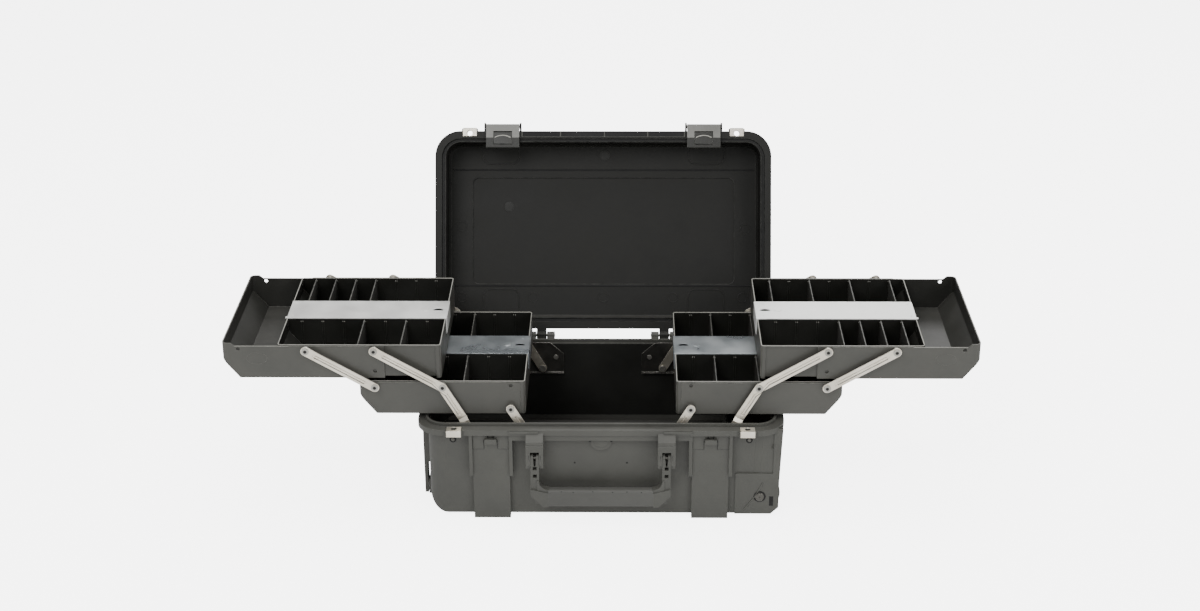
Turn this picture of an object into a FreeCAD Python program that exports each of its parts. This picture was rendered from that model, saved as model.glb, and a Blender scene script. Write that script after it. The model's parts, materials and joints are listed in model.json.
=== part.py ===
import FreeCAD, Part
import math
import os

# Wheeled waterproof tool case with two cantilever tray stacks, in millimetres.
# +X is to the right, -Y is the front with the carry handle, +Z is up.
# The origin is on the floor under the centre of the case. The lid stands open
# and both tray stacks are folded out. The wheels are at the right-hand end.

os.makedirs("parts", exist_ok=True)

# ---- case ----
inner_half_length = 261.0      # inside of the end walls
inner_half_depth = 144.5       # inside of the front and rear walls
wall = 3.5                     # base and lid walls
base_underside = 4.5           # bottom skin above the floor, carried by the feet
rim_top = 161.0                # top of the sealing tongue
flange_top = 155.5             # face that the lid closes on
flange_height = 9.0
flange_overhang = 15.0         # from the outer wall to the flange edge
corner_radius = 28.0           # vertical corners of the base
end_bottom_radius = 30.0       # where the end walls turn into the floor
flange_radius = 42.0
tongue_offset = 5.0            # from the inside of the wall to the tongue's middle
tongue_width = 3.0
foot_out = 8.5                 # latch columns and feet stand this far out of the wall
foot_in = 22.0                 # and reach this far under the case
foot_narrower = 4.5            # foot to latch column
rib_out = 13.0                 # ribs and shelf stand this far out of the wall
rib_thick = 5.0
rib_length = 80.0              # down from the closing face
shelf_height = 10.0
catch_half = 9.0               # nose that a latch hooks under
catch_out = 7.0
catch_z = 131.0
catch_height = 8.0
valve_radius = 16.0
valve_out = 5.0
valve_boss_radius = 10.0
valve_boss_out = 6.5
bite = 1.0                     # how far joined shapes run into each other

# ---- lid ----
lid_gap = 1.7                  # between the two flanges when shut
lid_flange_height = 8.8
groove_depth = 6.0
groove_width = 5.0
gasket_height = 1.6
lid_headroom = 1.5             # above the folded upper trays
lid_room_x = 0.5               # lid inside the base's inside, at the ends
lid_room_y = 1.4               # and at the front and rear
lid_panel_rise = 3.0           # raised middle panel
lid_panel_margin = 36.0        # panel edge to the end wall's inside
lid_panel_half_depth = 94.0
lid_panel_radius = 14.0
lid_recess_step = 4.0          # recess inside the panel's outline
hinge_setback = 10.6           # hinge axis behind the flange edge
hinge_rise = 1.3               # hinge axis above the base flange
knuckle_radius = 6.0
hinge_pin_radius = 2.5
knuckle_start = 80.0           # first knuckle from the middle of the case
knuckle_length = 13.0          # of the two on the base
lid_knuckle_length = 16.0
knuckle_gap = 1.0
knuckle_web = 6.0              # web under a knuckle, along Z
lid_open_angle = 113.4         # from shut to leaning back on its stop

# ---- latches and lock plates ----
latch_x = 167.0                # middle of each latch
latch_width = 55.0
column_play = 0.5              # column and latch ears beyond the latch, each side
latch_ear = 3.0
latch_reach = 36.0
latch_thick = 4.9
latch_pin_radius = 2.0
latch_pin_setback = 7.5        # pin in front of the flange edge
latch_pin_rise = 3.0
latch_eye_radius = 4.2
latch_hook_half = 10.0
latch_hook_depth = 5.0
latch_hook_height = 9.0
latch_round = 2.0
window_half = 15.5             # opening for the trigger
window_from = 8.0              # from the pin to the near and far end of the opening
window_to = 30.0
trigger_side_gap = 0.5
trigger_pin_y = 12.0           # trigger pin from the latch pin
trigger_pin_z = 2.2            # above the latch plate's underside
trigger_pin_radius = 1.5
trigger_pin_bite = 3.5         # how far the pin enters the plate on each side
lock_x = 222.0
lock_width = 22.0
lock_hole_radius = 4.5
lock_hole_in = 3.5             # hole behind the flange edge
lock_ear_margin = 2.0
lock_ear_out = 4.0             # ear in front of the flange edge
lock_ear_depth = 12.0
lock_cap_depth = 13.5          # sheet lying on top of the ear
lock_sheet = 1.4
lock_screw_drop = 6.0
lock_screw_head = 4.0
lock_screw_socket = 1.6

# ---- front carry handle ----
handle_x = 100.0               # middle of each handle arm
handle_axis_z = 112.0
handle_drop = 81.0             # from its pin to the underside of the grip
handle_arm_width = 13.0
handle_arm_thick = 10.0
handle_pin_radius = 2.5
handle_eye_radius = 6.5
handle_set_back = 2.0          # arm's middle in front of its pin
handle_corner = 20.0           # from an arm's middle to the grip's end
handle_corner_cut = 12.0
handle_corner_rise = 16.0
grip_height = 29.0
grip_thick = 16.0
grip_round = 5.0
grip_cover_z = 5.0             # soft cover over the core
grip_cover_y = 3.0
arm_window = 6.0               # square holes through an arm
arm_window_drops = (15.5, 28.5)
fork_top_half = 3.0            # slot from the top of an arm
fork_low_half = 1.2
fork_reach = 12.0
lug_cheek = 6.5
lug_bottom = 96.0
lug_top = 141.0
lug_out = 28.0
lug_bevel = 2.0                # cut at the lower front edge
lug_bevel_rise = 8.0
lug_slope = 6.0                # cut at the upper front edge
lug_slope_drop = 7.0
lug_mouth_above = 12.0         # slot above the pin
lug_mouth_behind = 10.0
handle_axis_out = 21.0         # pin in front of the wall

# ---- wheels ----
wheel_radius = 32.0
wheel_width = 26.0
axle_radius = 4.0
hub_radius = 23.0
hub_set_in = 3.0               # hub face inside the tyre's side
hub_boss_radius = 9.0
tyre_round = 5.0
wheel_inset = 20.5             # axle back from the outer end wall
wheel_ground_gap = 3.0
wheel_side_gap = 1.0
wheel_ring_gap = 4.0           # pocket round the tyre
pod_margin_x = 6.0             # housing beyond the tyre
pod_margin_z = 8.0
pod_low_in = 3.0               # housing's outline against the end wall, bottom to top
pod_bulge = 9.0
pod_bulge_low = 16.0
pod_bulge_high = 62.0
pod_top_out = 12.5
pod_top_drop = 4.0
pod_side_out = 2.5             # housing in front of the case's side
axle_head = 2.5
axle_head_out = 2.5
axle_socket = 2.2
axle_socket_depth = 1.5
axle_nut = 3.0
axle_nut_thick = 4.0

# ---- pull handle ----
tube_y = 88.0
tube_z = 23.0
tube_radius = 8.0
tube_wall = 1.5
tube_length = 452.0
sleeve_wall = 1.4
sleeve_to_axle = 18.5          # sleeve end short of the tyre
hump_half = 13.0               # floor hump round a sleeve
hump_over_sleeve = 4.5         # hump's end past the sleeve's
collar_half = 12.0
collar_out = 5.0
collar_to_grip = 1.0
collar_in = 8.0                # collar past the end wall, where the wall curves in
pull_leg_half = 10.0
pull_leg_bottom = 11.0         # below the tube's axis
pull_leg_top = 70.0
pull_frame_low = 66.0
pull_frame_high = 122.0
pull_frame_out = 5.5           # frame's outer face beyond the tube ends
pull_frame_in = 4.0
hand_half = 60.0               # opening for the hand
hand_low = 74.0
hand_high = 98.0
pull_round = 1.8
pull_plug = 12.0               # grip's plug inside a tube
button_half = 14.0
button_low = 103.0
button_high = 117.0
button_depth = 4.5             # its seat in the frame
button_proud = 0.8
button_travel = 1.8
button_guide_radius = 2.5
button_guide_length = 3.0      # from its seat towards the case
button_bore_end = 5.0          # bore through the frame, past the tube ends

# ---- trays ----
tray_height = 52.0
tray_wall = 2.2
tray_collar = 7.2              # end collar of the divided insert
end_gap = 6.4                  # folded tray to end wall
centre_gap = 3.1               # folded tray to the middle of the case
slide_out = 78.0               # upper insert drawn towards the middle when open
chamfer_run = 25.0
chamfer_rise = 31.0
tray_corner = 8.0
lip_rise = 5.0
lip_wrap = 14.0
lip_ramp = 6.0
seat_gap = 0.3                 # insert to shell, all round
insert_wall = 1.8
insert_end_gap = 3.4
insert_rim = 1.3
insert_rim_in = 0.4            # rim edge inside the shell's outside
insert_rim_stop = 9.0          # rim ends short of the shell's lip
collar_corner = 5.0
bar_half = 32.5
bar_sheet = 1.5
bar_hook = 25.0
bar_tab = (2.5, 1.0, 6.0)      # tab's reach, and its edges from the bar's edge
bar_stud_in = 34.0             # raised stud from the inner end
bar_stud_radius = 5.5
bar_stud_rise = 0.5
bar_lance_in = 14.0            # half-round hole from the inner end
bar_lance_radius = 8.0
bar_lance_low = 3.0
divider_sheet = 1.5
divider_play = 0.2
slot_first = 23.4              # first divider slot from the insert's outer end
slot_pitch = 32.3

# ---- tray linkage ----
hole_top_pitch = 102.5         # rivet pitch along a tray
hole_end_inset = 24.5          # outermost rivet from the outer end
hole_height = 47.5             # upper rivets above the tray's underside
hole_low_height = 11.5
lower_arm_out = 37.0           # open lower arm, outwards
open_rim_gap = 5.98            # open lower tray above the tongue
upper_arm_out = 101.5          # open upper arm, outwards
stack_gap = 8.0                # tray height to tray pitch
rim_gap = 2.8                  # folded upper tray above the tongue
arm_width = 14.0
arm_thick = 2.0
arm_to_bracket = 3.5
arm_to_tray = 7.0
joggle_from = 3.0              # foot's step, past the eye
joggle_to = 9.0
groove_sunk = 0.7              # pressed line along an arm
groove_half = 2.2
bracket_thick = 2.0
bracket_inner = 35.0           # bracket's edges beyond its two rivets
bracket_outer = 22.0
bracket_below = 11.0
bracket_above = 8.0
bracket_cut = (22.0, 20.0)     # sloping corner
bracket_lip = 4.0
bracket_screw_radius = 2.0
bracket_screw_head = 4.0
bracket_screw_head_thick = 0.9
bracket_screw_in = 22.0        # screws beyond the two rivets
bracket_screw_out = 14.0
bracket_screw_rise = 6.0
joggle = 3.1                   # offset of the long arm's foot towards the wall
rivet_radius = 3.0
head_radius = 5.5
head_thick = 1.2
running = 0.05                 # radial clearance of a pin that turns
spacer_less = 0.5              # spacer under a rivet head, smaller than the head
side_play = 0.3                # gap beside anything that turns
set_clearance = 0.02           # radial clearance of a fixed rivet or screw

# dividers by slot number, counted from the insert's outer end
dividers = {
    "left_upper": {"rear": [1, 2, 3, 4], "front": [4, 6]},
    "right_upper": {"rear": [1, 3, 5, 7], "front": [1, 2, 3, 4]},
    "left_lower": {"rear": [5], "front": [5]},
    "right_lower": {"rear": [4, 6], "front": [4, 6]},
}

# ---- worked-out places ----
outer_half_length = inner_half_length + wall
outer_half_depth = inner_half_depth + wall
flange_half_length = outer_half_length + flange_overhang
flange_half_depth = outer_half_depth + flange_overhang + lid_room_y
flange_low = flange_top - flange_height
hinge_y = flange_half_depth + hinge_setback
hinge_z = flange_top + hinge_rise
lid_floor = flange_top + lid_gap
tray_pitch = tray_height + stack_gap
upper_closed_z = rim_top + rim_gap
lower_closed_z = upper_closed_z - tray_pitch
lid_ceiling = upper_closed_z + tray_height + lip_rise + lid_headroom
lid_top = lid_ceiling + wall
latch_axis_y = -flange_half_depth - latch_pin_setback
latch_axis_z = lid_floor + latch_pin_rise
latch_top = lid_floor - side_play
latch_low = latch_top - latch_thick
latch_ear_half = latch_width / 2 + column_play

# the fold turns the upper arms from leaning out to leaning in by the same slope,
# and the lower arms lift the lower tray clear of the tongue
fold_angle = math.pi - 2 * math.atan2(tray_pitch, upper_arm_out)
fold_drop = tray_pitch - rim_gap + open_rim_gap
lower_arm_up = ((fold_drop + lower_arm_out * math.sin(fold_angle))
                / (1 - math.cos(fold_angle)))
lower_shift = (lower_arm_out * (1 - math.cos(fold_angle))
               + lower_arm_up * math.sin(fold_angle))

tray_end_closed = inner_half_length - end_gap
home_length = tray_end_closed - centre_gap
shell_length = home_length - tray_collar - seat_gap
lower_end = tray_end_closed + lower_shift
lower_z = lower_closed_z + fold_drop
upper_z = upper_closed_z + fold_drop

bracket_face = inner_half_depth - bracket_thick
arm_out_face = bracket_face - arm_to_bracket
arm_in_face = arm_out_face - arm_thick
tray_half_depth = arm_in_face - arm_to_tray

hole_mid_inset = hole_end_inset + hole_top_pitch
hole_far_inset = hole_mid_inset + hole_top_pitch
upper_end = lower_end + upper_arm_out + hole_top_pitch
pivot_m = (lower_end - hole_mid_inset, lower_z + hole_height)
pivot_l = (lower_end - hole_end_inset, lower_z + hole_height)
pivot_n = (lower_end - hole_far_inset, lower_z + hole_low_height)
pivot_u1 = (upper_end - hole_far_inset, upper_z + hole_height)
pivot_u2 = (upper_end - hole_mid_inset, upper_z + hole_height)
pivot_b1 = (pivot_m[0] - lower_arm_out, pivot_m[1] - lower_arm_up)
pivot_b2 = (pivot_n[0] - lower_arm_out, pivot_n[1] - lower_arm_up)

axle_x = outer_half_length - wheel_inset
axle_z = wheel_radius + wheel_ground_gap
wheel_mid_y = outer_half_depth - wall - wheel_width / 2 - wheel_side_gap
pod_in_y = wheel_mid_y - wheel_width / 2 - 2 * wheel_side_gap - wall
pod_out_y = outer_half_depth + pod_side_out
front_y = -outer_half_depth
handle_axis_y = front_y - handle_axis_out
grip_bottom = handle_axis_z - handle_drop
grip_mid_z = grip_bottom + grip_height / 2
core_half_z = grip_height / 2 - grip_cover_z
core_half_y = grip_thick / 2 - grip_cover_y
handle_mid_y = handle_axis_y - handle_set_back

sleeve_radius = tube_radius + running + sleeve_wall
sleeve_end = axle_x - wheel_radius - sleeve_to_axle
hump_end = sleeve_end + hump_over_sleeve
collar_face = -outer_half_length - collar_out
grip_back = collar_face - collar_to_grip
pull_face = grip_back - pull_frame_out
button_z = (button_low + button_high) / 2
button_seat = pull_face + button_depth

base_knuckles = ((knuckle_start, knuckle_start + knuckle_length),
                 (knuckle_start + knuckle_length + lid_knuckle_length + 2 * knuckle_gap,
                  knuckle_start + 2 * knuckle_length + lid_knuckle_length + 2 * knuckle_gap))
lid_knuckle = (knuckle_start + knuckle_length + knuckle_gap,
               knuckle_start + knuckle_length + knuckle_gap + lid_knuckle_length)
knuckle_end = base_knuckles[1][1]


# ---- shape helpers ----
def vec(x, y, z):
    return FreeCAD.Vector(x, y, z)


def box(x0, x1, y0, y1, z0, z1):
    return Part.makeBox(x1 - x0, y1 - y0, z1 - z0, vec(x0, y0, z0))


def rod_x(x0, x1, y, z, radius):
    return Part.makeCylinder(radius, x1 - x0, vec(x0, y, z), vec(1, 0, 0))


def rod_y(y0, y1, x, z, radius):
    return Part.makeCylinder(radius, y1 - y0, vec(x, y0, z), vec(0, 1, 0))


def rod_z(z0, z1, x, y, radius):
    return Part.makeCylinder(radius, z1 - z0, vec(x, y, z0), vec(0, 0, 1))


def prism_y(points, y0, y1):
    """Outline in XZ, drawn along Y."""
    wire = Part.makePolygon([vec(x, y0, z) for x, z in points + points[:1]])
    return Part.Face(wire).extrude(vec(0, y1 - y0, 0))


def prism_x(points, x0, x1):
    """Outline in YZ, drawn along X."""
    wire = Part.makePolygon([vec(x0, y, z) for y, z in points + points[:1]])
    return Part.Face(wire).extrude(vec(x1 - x0, 0, 0))


def upright_edges(shape):
    edges = []
    for edge in shape.Edges:
        a, b = edge.Vertexes[0].Point, edge.Vertexes[-1].Point
        if abs(a.x - b.x) < 1e-6 and abs(a.y - b.y) < 1e-6:
            edges.append(edge)
    return edges


def level_edges(shape, z):
    """Edges that lie at one height."""
    return [edge for edge in shape.Edges
            if all(abs(vertex.Point.z - z) < 1e-6 for vertex in edge.Vertexes)]


def rounded_box(half_x, half_y, z0, z1, radius):
    """Box centred on the case with rounded upright corners."""
    block = box(-half_x, half_x, -half_y, half_y, z0, z1)
    return block.makeFillet(radius, upright_edges(block))


def ring(half_x, half_y, width, z0, z1, radius):
    outer = rounded_box(half_x + width / 2, half_y + width / 2, z0, z1, radius + width / 2)
    inner = rounded_box(half_x - width / 2, half_y - width / 2, z0 - 1, z1 + 1, radius - width / 2)
    return outer.cut(inner)


def boat(half_x, half_y, z0, z1, corner, end_radius):
    """Rounded box whose end walls turn into the floor on a radius."""
    block = box(-half_x, half_x, -half_y, half_y, z0, z1)
    ends = [e for e in level_edges(block, z0)
            if abs(e.Vertexes[0].Point.x - e.Vertexes[1].Point.x) < 1e-6]
    turned = block.makeFillet(end_radius, ends)
    return turned.common(rounded_box(half_x, half_y, z0, z1, corner))


def fused(shapes):
    shapes = list(shapes)
    return shapes[0].multiFuse(shapes[1:]).removeSplitter() if len(shapes) > 1 else shapes[0]


def mirror_x(shape):
    return shape.mirror(vec(0, 0, 0), vec(1, 0, 0))


def mirror_y(shape):
    return shape.mirror(vec(0, 0, 0), vec(0, 1, 0))


def both_ends(shape):
    return [shape, mirror_x(shape)]


def both_faces(shape):
    return [shape, mirror_y(shape)]


def open_lid(shape):
    """Swings a shape that is drawn on the shut lid to the open place."""
    turned = shape.copy()
    turned.rotate(vec(0, hinge_y, hinge_z), vec(1, 0, 0), -lid_open_angle)
    return turned


def save(name, shapes):
    shapes = shapes if isinstance(shapes, list) else [shapes]
    solids = [solid for shape in shapes for solid in shape.Solids]
    whole = solids[0] if len(solids) == 1 else Part.makeCompound(solids)
    whole.exportStep("parts/" + name + ".step")


# ---- case base ----
def latch_column(x):
    """Column under a latch, with two ribs and the catch."""
    half = latch_ear_half
    face = front_y - foot_out
    below = flange_top - 2 * bite
    column = box(x - half, x + half, face, front_y + 2 * bite, 0, below)
    catch = box(x - catch_half, x + catch_half, face - catch_out, face + bite,
                catch_z, catch_z + catch_height)
    ribs = []
    for side in (-1, 1):
        mid = x + side * (half + rib_thick / 2)
        ribs.append(box(mid - rib_thick / 2, mid + rib_thick / 2,
                        front_y - rib_out, front_y + bite, flange_top - rib_length, below))
    return [column, catch] + ribs


def foot(x, side):
    half = latch_ear_half + column_play - foot_narrower / 2
    y0 = side * (outer_half_depth + foot_out)
    y1 = side * (outer_half_depth - foot_in)
    return box(x - half, x + half, min(y0, y1), max(y0, y1), 0, base_underside + bite)


def handle_lug(x):
    """Clevis that carries one end of the front handle."""
    slot = handle_arm_width / 2 + side_play
    face = front_y - lug_out
    outline = [(front_y + bite, lug_bottom), (face + lug_bevel, lug_bottom),
               (face, lug_bottom + lug_bevel_rise), (face, lug_top - lug_slope_drop),
               (face + lug_slope, lug_top), (front_y + bite, lug_top)]
    block = prism_x(outline, x - slot - lug_cheek, x + slot + lug_cheek)
    mouth = box(x - slot, x + slot, face - bite, handle_axis_y + lug_mouth_behind,
                lug_bottom - bite, handle_axis_z + lug_mouth_above)
    reach = slot + lug_cheek + bite
    bore = rod_x(x - reach, x + reach, handle_axis_y, handle_axis_z,
                 handle_pin_radius + set_clearance)
    return block.cut(mouth).cut(bore)


def lock_ear(z0, z1):
    half = lock_width / 2 + lock_ear_margin
    edge = -flange_half_depth - lock_ear_out
    return box(lock_x - half, lock_x + half, edge, edge + lock_ear_depth, z0, z1)


def lock_hole():
    reach = flange_height + lid_flange_height + lock_sheet
    return rod_z(flange_top - reach, flange_top + reach, lock_x,
                 -flange_half_depth + lock_hole_in, lock_hole_radius)


def wheel_pod():
    """Wheel housing at a right-hand corner, drawn at the rear and mirrored."""
    end = outer_half_length
    inner_x = axle_x - wheel_radius - pod_margin_x
    top = axle_z + wheel_radius + pod_margin_z
    outline = [(inner_x, base_underside), (end - pod_low_in, base_underside),
               (end + pod_bulge, pod_bulge_low), (end + pod_bulge, pod_bulge_high),
               (end + pod_top_out, flange_top - pod_top_drop),
               (end - bite, flange_top - pod_top_drop), (end - bite, top), (inner_x, top)]
    return prism_y(outline, pod_in_y, pod_out_y)


def wheel_pocket():
    half = wheel_width / 2 + wheel_side_gap
    pocket = rod_y(wheel_mid_y - half, wheel_mid_y + half, axle_x, axle_z,
                   wheel_radius + wheel_ring_gap)
    bore = rod_y(pod_in_y - bite, pod_out_y + bite, axle_x, axle_z, axle_radius + set_clearance)
    return [pocket, bore]


def hinge_knuckle(x0, x1, lower, upper):
    web = box(x0, x1, flange_half_depth - knuckle_web, hinge_y, lower, upper)
    return web.fuse(rod_x(x0, x1, hinge_y, hinge_z, knuckle_radius))


def hinge_bore(clearance):
    return rod_x(knuckle_start - bite, knuckle_end + bite, hinge_y, hinge_z,
                 hinge_pin_radius + clearance)


def base_shell():
    skin = boat(outer_half_length, outer_half_depth, base_underside, flange_top,
                corner_radius, end_bottom_radius)
    flange = rounded_box(flange_half_length, flange_half_depth, flange_low, flange_top,
                         flange_radius)
    tongue = rounded_box(inner_half_length + tongue_offset + tongue_width / 2,
                         inner_half_depth + tongue_offset + tongue_width / 2,
                         flange_top - 2 * bite, rim_top, corner_radius + tongue_width)
    shelf = box(-latch_x + latch_width / 2, latch_x - latch_width / 2,
                front_y - rib_out, front_y + bite, flange_low - shelf_height, flange_low + bite)
    pieces = [skin, flange, tongue, shelf]
    for side in (-1, 1):
        pieces += latch_column(side * latch_x)
        pieces += [foot(side * latch_x, front) for front in (-1, 1)]
        pieces.append(handle_lug(side * handle_x))
    pieces += both_ends(lock_ear(flange_low, flange_top))
    for x0, x1 in base_knuckles:
        pieces += both_ends(hinge_knuckle(x0, x1, flange_top - knuckle_web - bite, hinge_z))
    shell = fused(pieces)
    hollow = boat(inner_half_length, inner_half_depth, base_underside + wall, rim_top + bite,
                  corner_radius - wall, end_bottom_radius - wall)
    inside_tongue = rounded_box(inner_half_length + tongue_offset - tongue_width / 2,
                                inner_half_depth + tongue_offset - tongue_width / 2,
                                flange_top, rim_top + bite, corner_radius)
    shell = shell.cut(hollow).cut(inside_tongue)
    hump = box(-inner_half_length - bite, hump_end, tube_y - hump_half, tube_y + hump_half,
               base_underside + bite, tube_z + hump_half)
    bounds = boat(outer_half_length, outer_half_depth, base_underside, flange_top,
                  corner_radius, end_bottom_radius)
    shell = fused([shell] + both_faces(hump.common(bounds)) + both_faces(wheel_pod()))
    return shell.cut(Part.makeCompound(base_bores()))


def base_bores():
    """Wheel pockets, sleeve bores, lock holes, hinge bores and bracket screw holes."""
    bores = [tool for cutter in wheel_pocket() for tool in both_faces(cutter)]
    bores += both_faces(rod_x(-outer_half_length - bite, sleeve_end + set_clearance, tube_y, tube_z,
                              sleeve_radius + set_clearance))
    bores += both_ends(lock_hole())
    bores += both_ends(hinge_bore(set_clearance))
    for x, z in bracket_screws():
        hole = rod_y(inner_half_depth - bite, outer_half_depth - bite / 2, x, z,
                     bracket_screw_radius + set_clearance)
        bores += [tool for half in both_faces(hole) for tool in both_ends(half)]
    return bores


def pressure_valve():
    """Disc cut off by the shelf above it."""
    top = flange_low - shelf_height - side_play
    mid_z = top - valve_radius / 4
    disc = rod_y(front_y - valve_out, front_y, 0, mid_z, valve_radius)
    boss = rod_y(front_y - valve_boss_out, front_y - valve_out + bite, 0, mid_z,
                 valve_boss_radius)
    above = box(-valve_radius, valve_radius, front_y - valve_boss_out - bite, front_y + bite,
                top, top + valve_radius)
    return disc.fuse(boss).cut(above)


def lock_plate(low, top):
    """Sheet folded over the top and the front of a lock ear."""
    half = lock_width / 2
    edge = -flange_half_depth - lock_ear_out
    outline = [(edge, low), (edge - lock_sheet, low), (edge - lock_sheet, top + lock_sheet),
               (edge + lock_cap_depth, top + lock_sheet), (edge + lock_cap_depth, top),
               (edge, top)]
    return prism_x(outline, lock_x - half, lock_x + half).cut(lock_hole())


def lock_screw():
    z = flange_low - lock_screw_drop
    head = rod_y(front_y - lock_screw_socket, front_y, lock_x, z, lock_screw_head)
    socket = rod_y(front_y - 2 * lock_screw_socket, front_y - lock_screw_socket / 2,
                   lock_x, z, lock_screw_socket)
    return head.cut(socket)


def hinge_pin():
    return rod_x(knuckle_start - bite / 2, knuckle_end + bite / 2, hinge_y, hinge_z,
                 hinge_pin_radius)


# ---- lid, drawn shut ----
def latch_ear_plate(x):
    """Ear on the lid's flange that holds one end of a latch pin."""
    edge = -flange_half_depth
    root = edge + 2 * bite
    nose = latch_axis_y - latch_pin_rise
    outline = [(root, lid_floor), (nose - bite / 2, lid_floor),
               (nose - latch_pin_rise - bite / 2, lid_floor + latch_pin_rise + bite),
               (edge - lock_ear_out, lid_floor + lid_flange_height),
               (root, lid_floor + lid_flange_height)]
    return prism_x(outline, x - latch_ear / 2, x + latch_ear / 2)


def lid_shell():
    half_x, half_y = inner_half_length + lid_room_x, inner_half_depth + lid_room_y
    flange = rounded_box(flange_half_length, flange_half_depth, lid_floor,
                         lid_floor + lid_flange_height, flange_radius)
    dome = rounded_box(half_x + wall, half_y + wall, lid_floor, lid_top, corner_radius)
    dome = dome.makeChamfer(wall * 2, level_edges(dome, lid_top))
    panel = rounded_box(half_x - lid_panel_margin, lid_panel_half_depth, lid_top - 2 * bite,
                        lid_top + lid_panel_rise, lid_panel_radius)
    pieces = [flange, dome, panel]
    pieces += both_ends(lock_ear(lid_floor, lid_floor + lid_flange_height))
    for side in (-1, 1):
        ear = latch_ear_plate(latch_x + side * (latch_ear_half + latch_ear / 2))
        pieces += both_ends(ear)
    pieces += both_ends(hinge_knuckle(*lid_knuckle, lid_floor, lid_floor + knuckle_web))
    lid = fused(pieces)
    hollow = rounded_box(half_x, half_y, lid_floor - bite, lid_ceiling, corner_radius - wall)
    hollow = hollow.makeChamfer(wall, level_edges(hollow, lid_ceiling))
    recess = rounded_box(half_x - lid_panel_margin - lid_recess_step,
                         lid_panel_half_depth - lid_recess_step, lid_ceiling - bite,
                         lid_ceiling + lid_panel_rise, lid_panel_radius - lid_recess_step)
    groove = ring(inner_half_length + tongue_offset, inner_half_depth + tongue_offset,
                  groove_width, lid_floor - bite, lid_floor + groove_depth,
                  corner_radius + tongue_width / 2)
    bores = both_ends(hinge_bore(running)) + both_ends(lock_hole())
    bores += both_ends(latch_pin_bore(set_clearance))
    return lid.cut(Part.makeCompound([hollow, recess, groove] + bores))


def lid_gasket():
    top = lid_floor + groove_depth
    return ring(inner_half_length + tongue_offset, inner_half_depth + tongue_offset,
                groove_width - bite, top - gasket_height, top, corner_radius + tongue_width / 2)


def latch_pin_bore(clearance):
    reach = latch_ear_half + latch_ear + bite
    return rod_x(latch_x - reach, latch_x + reach, latch_axis_y, latch_axis_z,
                 latch_pin_radius + clearance)


def latch():
    """Latch plate lying back against the lid's rim, drawn on the shut lid."""
    half = latch_width / 2
    y, z = latch_axis_y, latch_axis_z
    x0, x1 = latch_x - half, latch_x + half
    tip = y + latch_reach
    plate = box(x0, x1, y - latch_eye_radius + side_play, tip, latch_low, latch_top)
    eye = rod_x(x0, x1, y, z, latch_eye_radius)
    neck = box(x0, x1, y - latch_eye_radius + side_play, y + latch_eye_radius - side_play,
               latch_low, z)
    hook = box(latch_x - latch_hook_half, latch_x + latch_hook_half, tip - latch_hook_depth,
               tip, latch_top - bite, latch_top + latch_hook_height)
    body = fused([plate, eye, neck, hook])
    edges = [e for e in level_edges(body, latch_low) if abs(e.Length - latch_width) < 1e-6]
    body = body.makeFillet(latch_round, edges)
    window = box(latch_x - window_half, latch_x + window_half, y + window_from, y + window_to,
                 latch_low - bite, latch_top + bite)
    reach = window_half + trigger_pin_bite
    stub = rod_x(latch_x - reach, latch_x + reach, y + trigger_pin_y, latch_low + trigger_pin_z,
                 trigger_pin_radius + running)
    return body.cut(window).cut(stub).cut(latch_pin_bore(running))


def latch_trigger():
    """Squeeze plate in the latch's opening, with its pin."""
    half = window_half - trigger_side_gap
    y0 = latch_axis_y + window_from + 2 * bite
    y1 = latch_axis_y + window_to - bite
    low = latch_low
    plate = prism_x([(y0, low), (y1, low - latch_thick / 3), (y1, low + latch_thick / 4),
                     (y0 + 2 * latch_thick, low + 0.6 * latch_thick),
                     (y0, low + 0.8 * latch_thick)], latch_x - half, latch_x + half)
    reach = window_half + trigger_pin_bite - trigger_side_gap
    stub = rod_x(latch_x - reach, latch_x + reach, latch_axis_y + trigger_pin_y,
                 low + trigger_pin_z, trigger_pin_radius)
    return plate.fuse(stub)


def latch_pin():
    reach = latch_ear_half + latch_ear
    return rod_x(latch_x - reach, latch_x + reach, latch_axis_y, latch_axis_z, latch_pin_radius)


# ---- front carry handle ----
def handle_corner_block(side):
    """Chamfered corner between an arm and the grip."""
    arm_half = handle_arm_width / 2
    x = side * handle_x
    outline = [(x + side * arm_half, grip_bottom + handle_corner),
               (x + side * arm_half, grip_mid_z + handle_corner_rise),
               (x - side * handle_corner, grip_mid_z + core_half_z),
               (x - side * handle_corner, grip_bottom),
               (x - side * handle_corner_cut, grip_bottom)]
    return prism_y(outline, handle_mid_y - grip_thick / 2, handle_mid_y + grip_thick / 2)


def front_handle():
    arm_half = handle_arm_width / 2
    y0, y1 = handle_mid_y - handle_arm_thick / 2, handle_mid_y + handle_arm_thick / 2
    through0, through1 = handle_mid_y - handle_arm_thick, handle_mid_y + handle_arm_thick
    pieces = [grip_core(handle_x)]
    cutters = []
    for side in (-1, 1):
        x = side * handle_x
        pieces.append(box(x - arm_half, x + arm_half, y0, y1, grip_mid_z, handle_axis_z))
        pieces.append(rod_x(x - arm_half, x + arm_half, handle_axis_y, handle_axis_z,
                            handle_eye_radius))
        pieces.append(handle_corner_block(side))
        fork_top, fork_low = handle_axis_z + fork_reach, handle_axis_z - fork_reach
        cutters.append(prism_y([(x - fork_top_half, fork_top), (x + fork_top_half, fork_top),
                                (x + fork_low_half, fork_low), (x - fork_low_half, fork_low)],
                               through0, through1))
        cutters.append(rod_x(x - handle_arm_width, x + handle_arm_width, handle_axis_y,
                             handle_axis_z, handle_pin_radius + running))
        half = arm_window / 2
        for drop in arm_window_drops:
            z = handle_axis_z - drop
            cutters.append(box(x - half, x + half, through0, through1, z - half, z + half))
    return fused(pieces).cut(Part.makeCompound(cutters))


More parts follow.
